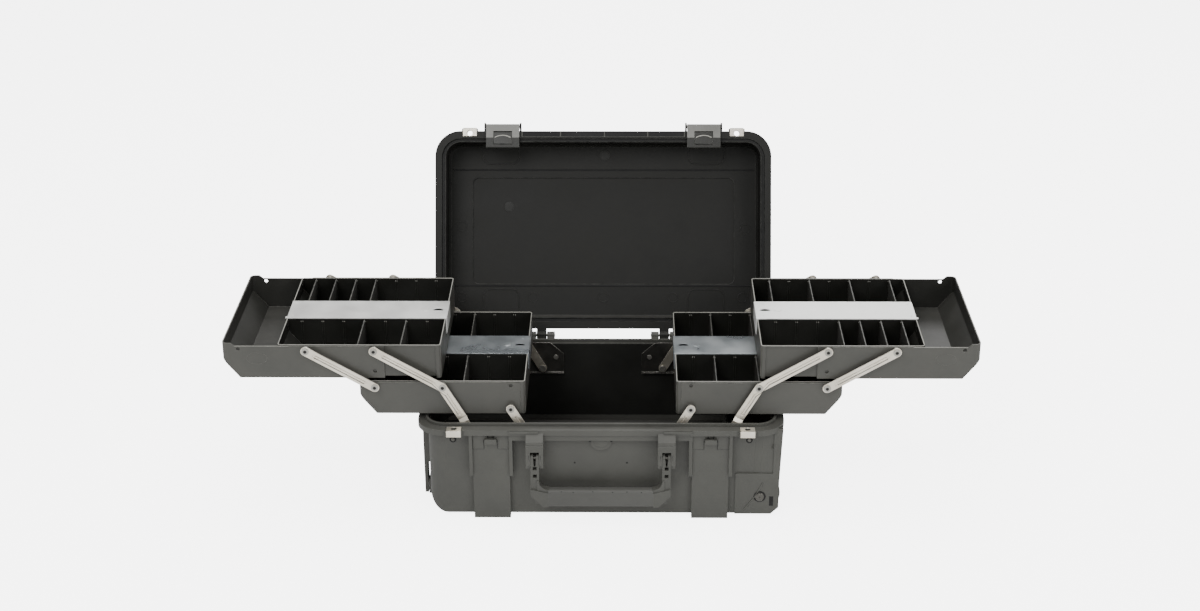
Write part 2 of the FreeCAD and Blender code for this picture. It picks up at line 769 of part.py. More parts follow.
def grip_core(half):
    return box(-half, half, handle_mid_y - core_half_y, handle_mid_y + core_half_y,
               grip_mid_z - core_half_z, grip_mid_z + core_half_z)


def front_handle_grip():
    half = handle_x - handle_corner
    sleeve = box(-half, half, handle_mid_y - grip_thick / 2, handle_mid_y + grip_thick / 2,
                 grip_bottom, grip_bottom + grip_height)
    edges = [e for e in sleeve.Edges if abs(e.Length - 2 * half) < 1e-6]
    return sleeve.makeFillet(grip_round, edges).cut(grip_core(half + bite))


def handle_pin():
    reach = handle_arm_width / 2 + side_play + lug_cheek
    return rod_x(handle_x - reach, handle_x + reach, handle_axis_y, handle_axis_z,
                 handle_pin_radius)


# ---- wheels, drawn at the rear ----
def axle_bore(clearance):
    return rod_y(0, outer_half_depth, axle_x, axle_z, axle_radius + clearance)


def wheel_hub():
    half = wheel_width / 2
    rim = rod_y(wheel_mid_y - half + hub_set_in, wheel_mid_y + half - hub_set_in, axle_x, axle_z,
                hub_radius)
    boss = rod_y(wheel_mid_y - half, wheel_mid_y + half, axle_x, axle_z, hub_boss_radius)
    return rim.fuse(boss).cut(axle_bore(running))


def wheel_tyre():
    half = wheel_width / 2
    tyre = rod_y(wheel_mid_y - half, wheel_mid_y + half, axle_x, axle_z, wheel_radius)
    rims = [e for e in tyre.Edges if len(e.Vertexes) == 1]
    tyre = tyre.makeFillet(tyre_round, rims)
    return tyre.cut(rod_y(0, outer_half_depth, axle_x, axle_z, hub_radius))


def wheel_axle():
    shank = rod_y(pod_in_y - bite, pod_out_y, axle_x, axle_z, axle_radius)
    head = rod_y(pod_out_y, pod_out_y + axle_head_out, axle_x, axle_z, axle_radius + axle_head)
    socket = rod_y(pod_out_y + axle_head_out - axle_socket_depth, pod_out_y + axle_head_out + bite,
                   axle_x, axle_z, axle_socket)
    nut = rod_y(pod_in_y - axle_nut_thick, pod_in_y, axle_x, axle_z, axle_radius + axle_nut)
    return fused([shank, head, nut]).cut(socket)


# ---- pull handle, rear tube drawn and mirrored ----
def pull_sleeve():
    outer = rod_x(-outer_half_length, sleeve_end, tube_y, tube_z, sleeve_radius)
    inner = rod_x(-outer_half_length - bite, sleeve_end - 2 * bite, tube_y, tube_z,
                  tube_radius + running)
    return outer.cut(inner)


def pull_collar():
    """Square collar round a tube's mouth, shaped to the end wall."""
    block = box(collar_face, -outer_half_length + collar_in, tube_y - collar_half,
                tube_y + collar_half, tube_z - collar_half, tube_z + collar_half)
    bounds = boat(outer_half_length, outer_half_depth, base_underside, flange_top,
                  corner_radius, end_bottom_radius)
    sleeve = rod_x(-outer_half_length, 0, tube_y, tube_z, sleeve_radius + set_clearance)
    mouth = rod_x(collar_face - bite, 0, tube_y, tube_z, tube_radius + running)
    return block.cut(bounds).cut(sleeve).cut(mouth)


def pull_tube():
    outer = rod_x(grip_back, grip_back + tube_length, tube_y, tube_z, tube_radius)
    return outer.cut(rod_x(grip_back - bite, grip_back + tube_length + bite, tube_y, tube_z,
                           tube_radius - tube_wall))


def pull_grip():
    """Frame on the left-hand end wall with a hand opening and a button seat."""
    frame_half = tube_y + pull_leg_half
    leg = box(pull_face, grip_back, tube_y - pull_leg_half, frame_half,
              tube_z - pull_leg_bottom, pull_leg_top)
    frame = box(pull_face, grip_back + pull_frame_in, -frame_half, frame_half,
                pull_frame_low, pull_frame_high)
    opening = box(pull_face - bite, grip_back + pull_frame_in + bite, -hand_half, hand_half,
                  hand_low, hand_high)
    grip = fused([frame] + both_faces(leg)).cut(opening)
    seat = box(pull_face - bite, button_seat, -button_half, button_half,
               button_low, button_high)
    plug = rod_x(grip_back, grip_back + pull_plug, tube_y, tube_z,
                 tube_radius - tube_wall - set_clearance)
    edges = [e for e in grip.Edges if len(e.Vertexes) == 2 and abs(e.Length - 2 * frame_half) < 1e-6]
    grip = grip.makeFillet(pull_round, edges)
    bore = rod_x(button_seat, grip_back + button_bore_end, 0, button_z,
                 button_guide_radius + running)
    return fused([grip.cut(seat)] + both_faces(plug)).cut(bore)


def pull_button():
    """Button that stands a little proud of its seat, with its guide."""
    back = button_seat - button_travel
    block = box(pull_face - button_proud, back, -button_half + side_play,
                button_half - side_play, button_low + side_play, button_high - side_play)
    return block.fuse(rod_x(back - bite, back + button_guide_length, 0, button_z,
                            button_guide_radius))


# ---- trays, drawn for the right-hand side ----
def tray_outline(x_in, x_end, z0, z1, inset, floor_inset):
    """Side outline with the chamfered outer end, drawn in from the shell's outside."""
    slope = math.hypot(chamfer_run, chamfer_rise)
    corner_z = z0 + chamfer_rise + inset * (slope - chamfer_rise) / chamfer_run
    corner_x = x_end + ((floor_inset - chamfer_rise) * chamfer_run - inset * slope) / chamfer_rise
    return [(x_in, z0 + floor_inset), (corner_x, z0 + floor_inset), (x_end - inset, corner_z),
            (x_end - inset, z1), (x_in, z1)]


def upright_edges_at(shape, x):
    return [e for e in upright_edges(shape) if abs(e.Vertexes[0].Point.x - x) < 1e-6]


def tray_block(x_in, x_end, half_y, z0, z1, inset, floor_inset, radius):
    """Tray outline drawn across the case, its two outer upright corners rounded."""
    block = prism_y(tray_outline(x_in, x_end, z0, z1, inset, floor_inset), -half_y, half_y)
    plan = box(x_in, x_end - inset, -half_y, half_y, z0 - bite, z1 + bite)
    return block.common(plan.makeFillet(radius, upright_edges_at(plan, x_end - inset)))


def tray_holes(x_end, z0):
    top = z0 + hole_height
    return [(x_end - hole_end_inset, top), (x_end - hole_mid_inset, top),
            (x_end - hole_far_inset, top), (x_end - hole_far_inset, z0 + hole_low_height)]


def tray_shell(x_end, z0):
    x_in = x_end - shell_length
    z1 = z0 + tray_height
    over = z1 + lip_rise + bite
    half = tray_half_depth
    outer = tray_block(x_in, x_end, half, z0, z1, 0, 0, tray_corner)
    lip_stop = x_end - lip_wrap
    lip = prism_y([(lip_stop - lip_ramp, z1), (lip_stop, z1 + lip_rise), (x_end, z1 + lip_rise),
                   (x_end, z1)], -half, half)
    plan = box(x_in, x_end, -half, half, z0 - bite, over)
    lip = lip.common(plan.makeFillet(tray_corner, upright_edges_at(plan, x_end)))
    inner = tray_block(x_in - bite, x_end, half - tray_wall, z0, over, tray_wall, tray_wall,
                       tray_corner - tray_wall)
    shell = outer.fuse(lip).removeSplitter().cut(inner)
    holes = [rod_y(-half - bite, half + bite, x, z, rivet_radius + set_clearance)
             for x, z in tray_holes(x_end, z0)]
    return shell.cut(Part.makeCompound(holes))


def tray_insert(x_end, z0):
    """Divided insert; x_end is the outer end of the shell it is home in."""
    x_in = x_end - home_length
    half = tray_half_depth - tray_wall - seat_gap
    z1 = z0 + tray_height + insert_rim
    inset, floor = tray_wall + insert_end_gap, tray_wall + seat_gap
    body = tray_block(x_in, x_end, half, z0, z1, inset, floor, tray_corner - tray_wall)
    collar = box(x_in, x_in + tray_collar, -tray_half_depth, tray_half_depth, z0, z1)
    collar = collar.makeFillet(collar_corner, upright_edges_at(collar, x_in))
    rims = both_faces(box(x_in + tray_collar - bite, x_end - lip_wrap - insert_rim_stop,
                          half - bite, tray_half_depth - insert_rim_in,
                          z0 + tray_height + seat_gap, z1))
    insert = fused([body, collar] + rims)
    inner = tray_outline(x_in + insert_wall, x_end, z0, z1 + bite, inset + insert_wall,
                         floor + insert_wall)
    pocket = prism_y(inner, bar_half, half - insert_wall)
    channel = prism_y(inner, -bar_half + insert_wall, bar_half - insert_wall)
    return insert.cut(Part.makeCompound(both_faces(pocket) + [channel]))


def tray_bar(x_end, z0):
    """Metal bar over the channel, hooked over the insert's inner end."""
    x_in = x_end - home_length
    x_out = x_end - tray_wall - insert_end_gap
    z1 = z0 + tray_height + insert_rim
    tab_reach, tab_from, tab_to = bar_tab
    strip = box(x_in - bar_sheet, x_out, -bar_half, bar_half, z1, z1 + bar_sheet)
    hook = box(x_in - bar_sheet, x_in, -bar_half, bar_half, z1 - bar_hook, z1 + bite)
    tab = box(x_out - bite, x_out + tab_reach, -bar_half + tab_from, -bar_half + tab_to,
              z1, z1 + bar_sheet)
    stud = rod_z(z1, z1 + bar_sheet + bar_stud_rise, x_in + bar_stud_in, 0, bar_stud_radius)
    lance = rod_z(z1 - bite, z1 + bar_hook, x_in + bar_lance_in, -bar_lance_low,
                  bar_lance_radius)
    upper_half = box(x_in, x_in + bar_stud_in, -bar_lance_low, bar_half, z1 - bite, z1 + bar_hook)
    return fused([strip, hook, tab, stud]).cut(lance.common(upper_half))


def tray_dividers(x_end, z0, rows):
    """Dividers on the floor of the insert, in the slots that rows names."""
    first = x_end - tray_wall - insert_end_gap - slot_first
    floor = z0 + tray_wall + seat_gap + insert_wall
    top = z0 + tray_height
    wall_in = tray_half_depth - tray_wall - seat_gap - insert_wall
    inset = tray_wall + insert_end_gap + insert_wall + divider_play
    limit = prism_y(tray_outline(x_end - home_length, x_end, z0, top, inset, floor - z0),
                    -wall_in, wall_in)
    plates = []
    for row, sign in (("rear", 1), ("front", -1)):
        for slot in rows[row]:
            x = first - (slot - 1) * slot_pitch
            near, far = sign * (bar_half + divider_play), sign * (wall_in - divider_play)
            plate = box(x - divider_sheet / 2, x + divider_sheet / 2,
                        min(near, far), max(near, far), floor, top)
            plates.append(plate.common(limit))
    return plates


# ---- rivets and arms, drawn at the rear and mirrored ----
def tray_rivet(point):
    x, z = point
    half = tray_half_depth
    seat = arm_out_face + side_play
    shank = rod_y(half - tray_wall, seat, x, z, rivet_radius)
    spacer = rod_y(half, arm_in_face - side_play, x, z, head_radius - spacer_less)
    head = rod_y(seat, seat + head_thick, x, z, head_radius)
    return fused([shank, spacer, head])


def wall_rivet(point, inner, outer):
    """Rivet of the bracket; the arm's eye turns between inner and outer."""
    x, z = point
    seat = inner - side_play
    shank = rod_y(seat, inner_half_depth - side_play / 2, x, z, rivet_radius)
    head = rod_y(seat - head_thick, seat, x, z, head_radius)
    pieces = [shank, head]
    if bracket_face - outer > side_play * 2:
        pieces.append(rod_y(outer + side_play, bracket_face, x, z, head_radius - spacer_less))
    return fused(pieces)


def local_to_case(shape, start, angle):
    """Places a shape drawn along +X from the origin at a pivot, tilted up by angle."""
    moved = shape.copy()
    moved.rotate(vec(0, 0, 0), vec(0, 1, 0), -angle)
    moved.translate(vec(start[0], 0, start[1]))
    return moved


def span(start, end):
    run, rise = end[0] - start[0], end[1] - start[1]
    return math.hypot(run, rise), math.degrees(math.atan2(rise, run))


def strap(start, end, foot_offset):
    """Flat strap between two pivots; foot_offset steps its first eye towards the wall."""
    length, angle = span(start, end)
    half, inner, outer = arm_width / 2, arm_in_face, arm_out_face
    if foot_offset:
        step_from, step_to = half + joggle_from, half + joggle_to
        points = [(0, inner + foot_offset), (step_from, inner + foot_offset), (step_to, inner),
                  (length, inner), (length, outer), (step_to, outer),
                  (step_from, outer + foot_offset), (0, outer + foot_offset)]
        plan = Part.makePolygon([vec(x, y, -half) for x, y in points + points[:1]])
        bar = Part.Face(plan).extrude(vec(0, 0, arm_width))
        foot_eye = rod_y(inner + foot_offset, outer + foot_offset, 0, 0, half)
    else:
        bar = box(0, length, inner, outer, -half, half)
        foot_eye = rod_y(inner, outer, 0, 0, half)
    tip_eye = rod_y(inner, outer, length, 0, half)
    return local_to_case(fused([bar, foot_eye, tip_eye]), start, angle)


def pressed_groove(start, end, margin_start, margin_end):
    length, angle = span(start, end)
    x0, x1 = margin_start, length - margin_end
    y0, y1 = arm_out_face - groove_sunk, arm_out_face + bite
    groove = box(x0, x1, y0, y1, -groove_half, groove_half)
    groove = fused([groove, rod_y(y0, y1, x0, 0, groove_half), rod_y(y0, y1, x1, 0, groove_half)])
    return local_to_case(groove, start, angle)


def eye_hole(point):
    return rod_y(tray_half_depth, inner_half_depth, point[0], point[1], rivet_radius + running)


def long_arm():
    arm = fused([strap(pivot_b1, pivot_m, joggle), strap(pivot_m, pivot_u1, 0)])
    cutters = [eye_hole(point) for point in (pivot_b1, pivot_m, pivot_u1)]
    margin = arm_width
    cutters.append(pressed_groove(pivot_b1, pivot_m, margin + joggle_to + bite, margin))
    cutters.append(pressed_groove(pivot_m, pivot_u1, margin, margin + 2 * bite))
    return arm.cut(Part.makeCompound(cutters))


def short_arm(start, end):
    margin = arm_width + bite
    cutters = [eye_hole(start), eye_hole(end), pressed_groove(start, end, margin, margin)]
    return strap(start, end, 0).cut(Part.makeCompound(cutters))


def bracket_screws():
    low, high = pivot_b2[1], pivot_b1[1]
    return [(pivot_b2[0] - bracket_screw_in, (low + high) / 2),
            (pivot_b1[0] + bracket_screw_out, low + bracket_screw_rise)]


def bracket():
    """Steel plate on the case wall that carries the two lower arms."""
    x0, x1 = pivot_b2[0] - bracket_inner, pivot_b1[0] + bracket_outer
    z0, z1 = pivot_b2[1] - bracket_below, pivot_b1[1] + bracket_above
    cut_x, cut_z = bracket_cut
    outline = [(x0, z0), (x1, z0), (x1, z1), (x0 + cut_x, z1), (x0, z1 - cut_z)]
    plate = prism_y(outline, bracket_face, inner_half_depth)
    lip = box(x0, x1, bracket_face - bracket_lip, bracket_face, z0, z0 + bracket_thick)
    y0, y1 = bracket_face - bite, inner_half_depth + bite
    holes = [rod_y(y0, y1, x, z, rivet_radius + set_clearance)
             for x, z in (pivot_b1, pivot_b2)]
    holes += [rod_y(y0, y1, x, z, bracket_screw_radius + set_clearance)
              for x, z in bracket_screws()]
    return plate.fuse(lip).cut(Part.makeCompound(holes))


def bracket_screw(point):
    x, z = point
    shank = rod_y(bracket_face, outer_half_depth - bite, x, z, bracket_screw_radius)
    head = rod_y(bracket_face - bracket_screw_head_thick, bracket_face, x, z, bracket_screw_head)
    return shank.fuse(head)


# ---- build and save ----
def save_case():
    save("base_shell", base_shell())
    save("pressure_valve", pressure_valve())
    save("base_lock_plates", both_ends(lock_plate(flange_top - flange_height, flange_top)))
    save("base_lock_plate_screws", both_ends(lock_screw()))
    save("lid_hinge_pins", both_ends(hinge_pin()))
    save("front_handle_pins", both_ends(handle_pin()))
    save("wheel_axles", both_faces(wheel_axle()))
    save("pull_handle_sleeves", both_faces(pull_sleeve()))
    save("pull_handle_collars", both_faces(pull_collar()))
    screws = [bracket_screw(p) for p in bracket_screws()]
    save("bracket_screws", [t for s in screws for half in both_faces(s) for t in both_ends(half)])


def save_lid():
    save("lid_shell", open_lid(lid_shell()))
    save("lid_gasket", open_lid(lid_gasket()))
    plate = lock_plate(lid_floor, lid_floor + lid_flange_height)
    save("lid_lock_plates", [open_lid(p) for p in both_ends(plate)])
    save("latch_pins", [open_lid(p) for p in both_ends(latch_pin())])
    for side, place in (("right", lambda s: s), ("left", mirror_x)):
        save(side + "_latch", open_lid(place(latch())))
        save(side + "_latch_trigger", open_lid(place(latch_trigger())))


def save_handles_and_wheels():
    save("front_handle", front_handle())
    save("front_handle_grip", front_handle_grip())
    save("pull_handle_tubes", both_faces(pull_tube()))
    save("pull_handle_grip", pull_grip())
    save("pull_handle_button", pull_button())
    for side, place in (("rear", lambda s: s), ("front", mirror_y)):
        save(side + "_wheel_hub", place(wheel_hub()))
        save(side + "_wheel_tyre", place(wheel_tyre()))


def save_side(side, place):
    """Everything of one tray stack; place puts a right-hand shape on its side."""
    def pair(shapes):
        return [place(half) for shape in shapes for half in both_faces(shape)]

    save(side + "_brackets", pair([bracket()]))
    wall_rivets = [wall_rivet(pivot_b1, arm_in_face + joggle, arm_out_face + joggle),
                   wall_rivet(pivot_b2, arm_in_face, arm_out_face)]
    save(side + "_bracket_rivets", pair(wall_rivets))
    save(side + "_long_arms", pair([long_arm()]))
    save(side + "_lower_short_arms", pair([short_arm(pivot_b2, pivot_n)]))
    save(side + "_upper_short_arms", pair([short_arm(pivot_l, pivot_u2)]))
    save(side + "_lower_tray_rivets", pair([tray_rivet(p) for p in (pivot_m, pivot_l, pivot_n)]))
    save(side + "_upper_tray_rivets", pair([tray_rivet(p) for p in (pivot_u1, pivot_u2)]))
    for level, x_end, z0, slid in (("lower", lower_end, lower_z, 0),
                                   ("upper", upper_end, upper_z, slide_out)):
        name = side + "_" + level
        drawn = x_end - slid
        save(name + "_tray_shell", place(tray_shell(x_end, z0)))
        save(name + "_tray_insert", place(tray_insert(drawn, z0)))
        save(name + "_tray_bar", place(tray_bar(drawn, z0)))
        plates = tray_dividers(drawn, z0, dividers[name])
        save(name + "_tray_dividers", [place(plate) for plate in plates])


save_case()
save_lid()
save_handles_and_wheels()
save_side("right", lambda shape: shape)
save_side("left", mirror_x)
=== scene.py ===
import json
import math
import bmesh
import bpy
from mathutils import Matrix, Vector
from mathutils.bvhtree import BVHTree


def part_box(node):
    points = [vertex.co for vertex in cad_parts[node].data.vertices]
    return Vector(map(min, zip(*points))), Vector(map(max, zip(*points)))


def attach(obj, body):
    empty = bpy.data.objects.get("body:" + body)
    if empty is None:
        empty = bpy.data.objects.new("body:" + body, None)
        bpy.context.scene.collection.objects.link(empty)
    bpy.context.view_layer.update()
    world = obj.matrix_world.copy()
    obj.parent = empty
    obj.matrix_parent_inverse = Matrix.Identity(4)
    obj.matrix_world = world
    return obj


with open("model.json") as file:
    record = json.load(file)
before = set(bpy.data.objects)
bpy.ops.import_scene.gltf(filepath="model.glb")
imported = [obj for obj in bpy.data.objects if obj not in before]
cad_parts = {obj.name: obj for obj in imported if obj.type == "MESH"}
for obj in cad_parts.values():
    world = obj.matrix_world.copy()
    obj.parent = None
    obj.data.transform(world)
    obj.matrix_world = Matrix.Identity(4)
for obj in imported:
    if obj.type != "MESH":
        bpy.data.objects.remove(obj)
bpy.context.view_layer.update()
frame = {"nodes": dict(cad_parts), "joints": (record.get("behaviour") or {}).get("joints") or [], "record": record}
mm = 0.001
joints = {joint["name"]: joint for joint in frame["joints"]}
sides = {"left": -1, "right": 1}

print("stage: camera and studio")
camera = {"place": (0.0348, -2.8128, 1.5470), "turn": 0.0132, "tilt": 0.4205, "roll": -0.0037,
          "lens": 59.38, "sensor": 36.0, "farClip": 100.0}
studio = {"floorSize": 40.0, "floorColour": (0.9, 0.9, 0.895), "floorRoughness": 0.85,
          "floorGlow": 5.0, "floorBounce": 0.3, "skyColour": (1.0, 1.0, 1.0),
          "skyStrength": 0.55, "skyGlow": 5.6}
lamps = {  # name: place, aim, width, height, power in watts
    "keyLamp": ((-1.1, -2.3, 2.6), (0.0, 0.0, 0.2), 1.6, 1.6, 62.0),
    "fillLamp": ((1.9, -2.2, 1.5), (0.0, 0.0, 0.2), 1.8, 1.4, 30.0),
    "topLamp": ((0.0, 0.1, 2.9), (0.0, 0.0, 0.2), 2.4, 1.4, 34.0),
    "rearLamp": ((0.6, 2.6, 2.2), (0.0, 0.1, 0.3), 2.0, 1.2, 30.0),
}


def addNode(tree, kind, values=None, **settings):  # a socket among the values is linked
    node = tree.nodes.new(kind)
    for key, value in settings.items():
        setattr(node, key, value)
    for key, value in (values or {}).items():
        if isinstance(value, bpy.types.NodeSocket):
            tree.links.new(value, node.inputs[key])
        else:
            node.inputs[key].default_value = value
    return node


def addCamera():
    data = bpy.data.cameras.new("camera")
    data.sensor_width = camera["sensor"]
    data.lens = camera["lens"]
    data.clip_end = camera["farClip"]
    lens = bpy.data.objects.new("camera", data)
    turn, tilt, roll = camera["turn"], camera["tilt"], camera["roll"]
    forward = Vector((-math.sin(turn) * math.cos(tilt), math.cos(turn) * math.cos(tilt),
                      -math.sin(tilt)))
    right = Vector((math.cos(turn), math.sin(turn), 0.0))
    up = right.cross(forward)
    rolledRight = right * math.cos(roll) + up * math.sin(roll)
    rolledUp = up * math.cos(roll) - right * math.sin(roll)
    axes = Matrix((rolledRight, rolledUp, -forward)).transposed().to_4x4()
    lens.matrix_world = Matrix.Translation(camera["place"]) @ axes
    bpy.context.scene.collection.objects.link(lens)
    bpy.context.scene.camera = lens


def addLamps():
    for name, (place, aim, width, height, power) in lamps.items():
        data = bpy.data.lights.new(name, "AREA")
        data.shape = "RECTANGLE"
        data.size = width
        data.size_y = height
        data.energy = power
        lamp = bpy.data.objects.new(name, data)
        lamp.location = place
        lamp.rotation_mode = "QUATERNION"
        lamp.rotation_quaternion = (Vector(aim) - Vector(place)).to_track_quat("-Z", "Y")
        bpy.context.scene.collection.objects.link(lamp)


def seenGlow(tree, bounced, seen):  # brighter to the camera than the light it gives
    rays = addNode(tree, "ShaderNodeLightPath")
    glow = addNode(tree, "ShaderNodeMapRange", {"Value": rays.outputs["Is Camera Ray"],
                                                "To Min": bounced, "To Max": seen})
    return glow.outputs["Result"]


def addSky():
    world = bpy.data.worlds.new("softRoom")
    world.use_nodes = True
    tree = world.node_tree
    sky = tree.nodes["Background"]
    sky.inputs["Color"].default_value = (*studio["skyColour"], 1.0)
    glow = seenGlow(tree, studio["skyStrength"], studio["skyGlow"])
    tree.links.new(glow, sky.inputs["Strength"])
    bpy.context.scene.world = world


def addFloor():
    half = studio["floorSize"] / 2
    mesh = bpy.data.meshes.new("floor")
    mesh.from_pydata([(-half, -half, 0), (half, -half, 0), (half, half, 0), (-half, half, 0)],
                     [], [(0, 1, 2, 3)])
    floor = bpy.data.objects.new("floor", mesh)
    bpy.context.scene.collection.objects.link(floor)
    paint = bpy.data.materials.new("paleFloor")
    paint.use_nodes = True
    tree = paint.node_tree
    shader = tree.nodes["Principled BSDF"]
    shader.inputs["Base Color"].default_value = (*studio["floorColour"], 1.0)
    shader.inputs["Roughness"].default_value = studio["floorRoughness"]
    shader.inputs["Emission Color"].default_value = (1.0, 1.0, 1.0, 1.0)
    glow = seenGlow(tree, studio["floorBounce"], studio["floorGlow"])
    tree.links.new(glow, shader.inputs["Emission Strength"])
    mesh.materials.append(paint)


addCamera()
addLamps()
addSky()
addFloor()

print("stage: shared surface effects")


def makeGroup(name, inputs, outputs):
    tree = bpy.data.node_groups.new(name, "ShaderNodeTree")
    for label, value in inputs.items():
        kind = "NodeSocketVector" if isinstance(value, tuple) else "NodeSocketFloat"
        socket = tree.interface.new_socket(name=label, in_out="INPUT", socket_type=kind)
        socket.default_value = value
    for label in outputs:
        kind = "NodeSocketVector" if "Normal" in label else "NodeSocketFloat"
        tree.interface.new_socket(name=label, in_out="OUTPUT", socket_type=kind)
    return tree, tree.nodes.new("NodeGroupInput").outputs


def addMath(tree, operation, *values, clamp=False):
    return addNode(tree, "ShaderNodeMath", dict(enumerate(values)), operation=operation,
                   use_clamp=clamp).outputs[0]


def addVectorMath(tree, operation, *values):
    node = addNode(tree, "ShaderNodeVectorMath", dict(enumerate(values)), operation=operation)
    return node.outputs["Value" if operation in ("DOT_PRODUCT", "LENGTH") else "Vector"]


def addNoise(tree, place, **values):
    noise = addNode(tree, "ShaderNodeTexNoise", {"Vector": place, **values})
    return noise.outputs["Fac"]


def spreadOut(tree, value, low, high):  # low and high of the value become 0 and 1
    return addNode(tree, "ShaderNodeMapRange", {"Value": value, "From Min": low,
                                                "From Max": high}).outputs["Result"]


def mouldedGrain():  # fine spark-eroded texture with slow blotches
    tree, given = makeGroup("mouldedGrain", {"Scale": 900.0, "Blotch": 9.0},
                            ("Height", "Blotches"))
    place = addNode(tree, "ShaderNodeTexCoord").outputs["Object"]
    fine = addNoise(tree, place, Scale=given["Scale"], Detail=3.0, Roughness=0.6)
    pits = addNode(tree, "ShaderNodeTexVoronoi", {"Vector": place, "Scale": given["Scale"]},
                   feature="SMOOTH_F1")
    slow = addNoise(tree, place, Scale=given["Blotch"], Detail=5.0, Roughness=0.62)
    addNode(tree, "NodeGroupOutput", {
        "Height": addMath(tree, "ADD", fine, pits.outputs["Distance"]),
        "Blotches": spreadOut(tree, slow, 0.32, 0.68)})
    return tree


def drawnLines():  # long faint scratches along X from rolling and handling
    tree, given = makeGroup("drawnLines", {"Scale": 60.0, "Stretch": 0.04},
                            ("Height", "Streaks"))
    place = addNode(tree, "ShaderNodeTexCoord").outputs["Object"]
    parts = addNode(tree, "ShaderNodeSeparateXYZ", {0: place}).outputs
    squeezed = addMath(tree, "MULTIPLY", parts["X"], given["Stretch"])
    joined = addNode(tree, "ShaderNodeCombineXYZ", {"X": squeezed, "Y": parts["Y"],
                                                    "Z": parts["Z"]})
    scaled = addNode(tree, "ShaderNodeVectorMath", {0: joined.outputs[0],
                                                    "Scale": given["Scale"]}, operation="SCALE")
    broad = addNoise(tree, place, Scale=24.0, Detail=4.0)
    addNode(tree, "NodeGroupOutput", {
        "Height": addNoise(tree, scaled.outputs[0], Detail=4.0, Roughness=0.7),
        "Streaks": spreadOut(tree, broad, 0.34, 0.66)})
    return tree


def rubbedEdgesAndHighlights():  # mask of the edges that hands and tools polish, which on the dividers lays a painted highlight on their lit top edges
    tree, given = makeGroup("rubbedEdgesAndHighlights", {"Width": 0.0012, "Break Up": 120.0},
                            ("Mask", "Soft Normal"))
    flat = addNode(tree, "ShaderNodeNewGeometry").outputs["Normal"]
    soft = addNode(tree, "ShaderNodeBevel", {"Radius": given["Width"]},
                   samples=6).outputs["Normal"]
    edge = spreadOut(tree, addVectorMath(tree, "DOT_PRODUCT", flat, soft), 0.995, 0.86)
    place = addNode(tree, "ShaderNodeTexCoord").outputs["Object"]
    patchy = addNoise(tree, place, Scale=given["Break Up"], Detail=3.0)
    mask = addMath(tree, "MULTIPLY", edge, spreadOut(tree, patchy, 0.35, 0.6), clamp=True)
    addNode(tree, "NodeGroupOutput", {"Mask": mask, "Soft Normal": soft})
    return tree


def settledDust():  # thin pale dust on faces that look up
    tree, given = makeGroup("settledDust", {"Amount": 0.1, "Scale": 35.0}, ("Mask",))
    flat = addNode(tree, "ShaderNodeNewGeometry").outputs["Normal"]
    parts = addNode(tree, "ShaderNodeSeparateXYZ", {0: flat})
    upward = spreadOut(tree, parts.outputs["Z"], 0.35, 1.0)
    place = addNode(tree, "ShaderNodeTexCoord").outputs["Object"]
    cloud = addNoise(tree, place, Scale=given["Scale"], Detail=6.0, Roughness=0.7)
    thin = addMath(tree, "MULTIPLY", upward, cloud)
    mask = addMath(tree, "MULTIPLY", thin, given["Amount"], clamp=True)
    addNode(tree, "NodeGroupOutput", {"Mask": mask})
    return tree


def shadeBoxMask():  # painted shade: 1 inside a box with rounded corners, where the insides are painted darker for the shade that falls in them
    tree, given = makeGroup("shadeBoxMask", {"Centre": (0.0, 0.0, 0.0), "Half": (1.0, 1.0, 1.0),
                                           "Corner": 0.0}, ("Mask",))
    place = addNode(tree, "ShaderNodeTexCoord").outputs["Object"]
    offset = addVectorMath(tree, "SUBTRACT", place, given["Centre"])
    beyond = addVectorMath(tree, "SUBTRACT", addVectorMath(tree, "ABSOLUTE", offset),
                           given["Half"])
    grown = addVectorMath(tree, "ADD", beyond, given["Corner"])
    outside = addVectorMath(tree, "MAXIMUM", grown, (0.0, 0.0, 0.0))
    margin = addMath(tree, "ADD", given["Corner"], 0.00001)
    shadeMask = addMath(tree, "LESS_THAN", addVectorMath(tree, "LENGTH", outside), margin)
    addNode(tree, "NodeGroupOutput", {"Mask": shadeMask})
    return tree


def shadeFacingMask():  # painted shade: 1 on faces that look towards a point inside the hollow, painted darker for the shade there
    tree, given = makeGroup("shadeFacingMask", {"Centre": (0.0, 0.0, 0.0)}, ("Mask",))
    place = addNode(tree, "ShaderNodeTexCoord").outputs
    offset = addVectorMath(tree, "SUBTRACT", place["Object"], given["Centre"])
    lookOut = addVectorMath(tree, "DOT_PRODUCT", offset, place["Normal"])
    addNode(tree, "NodeGroupOutput", {"Mask": addMath(tree, "LESS_THAN", lookOut, 0.0)})
    return tree


grainEffect = mouldedGrain()
shadeBoxEffect = shadeBoxMask()
shadeFacingEffect = shadeFacingMask()
lineEffect = drawnLines()
edgeEffect = rubbedEdgesAndHighlights()
dustEffect = settledDust()

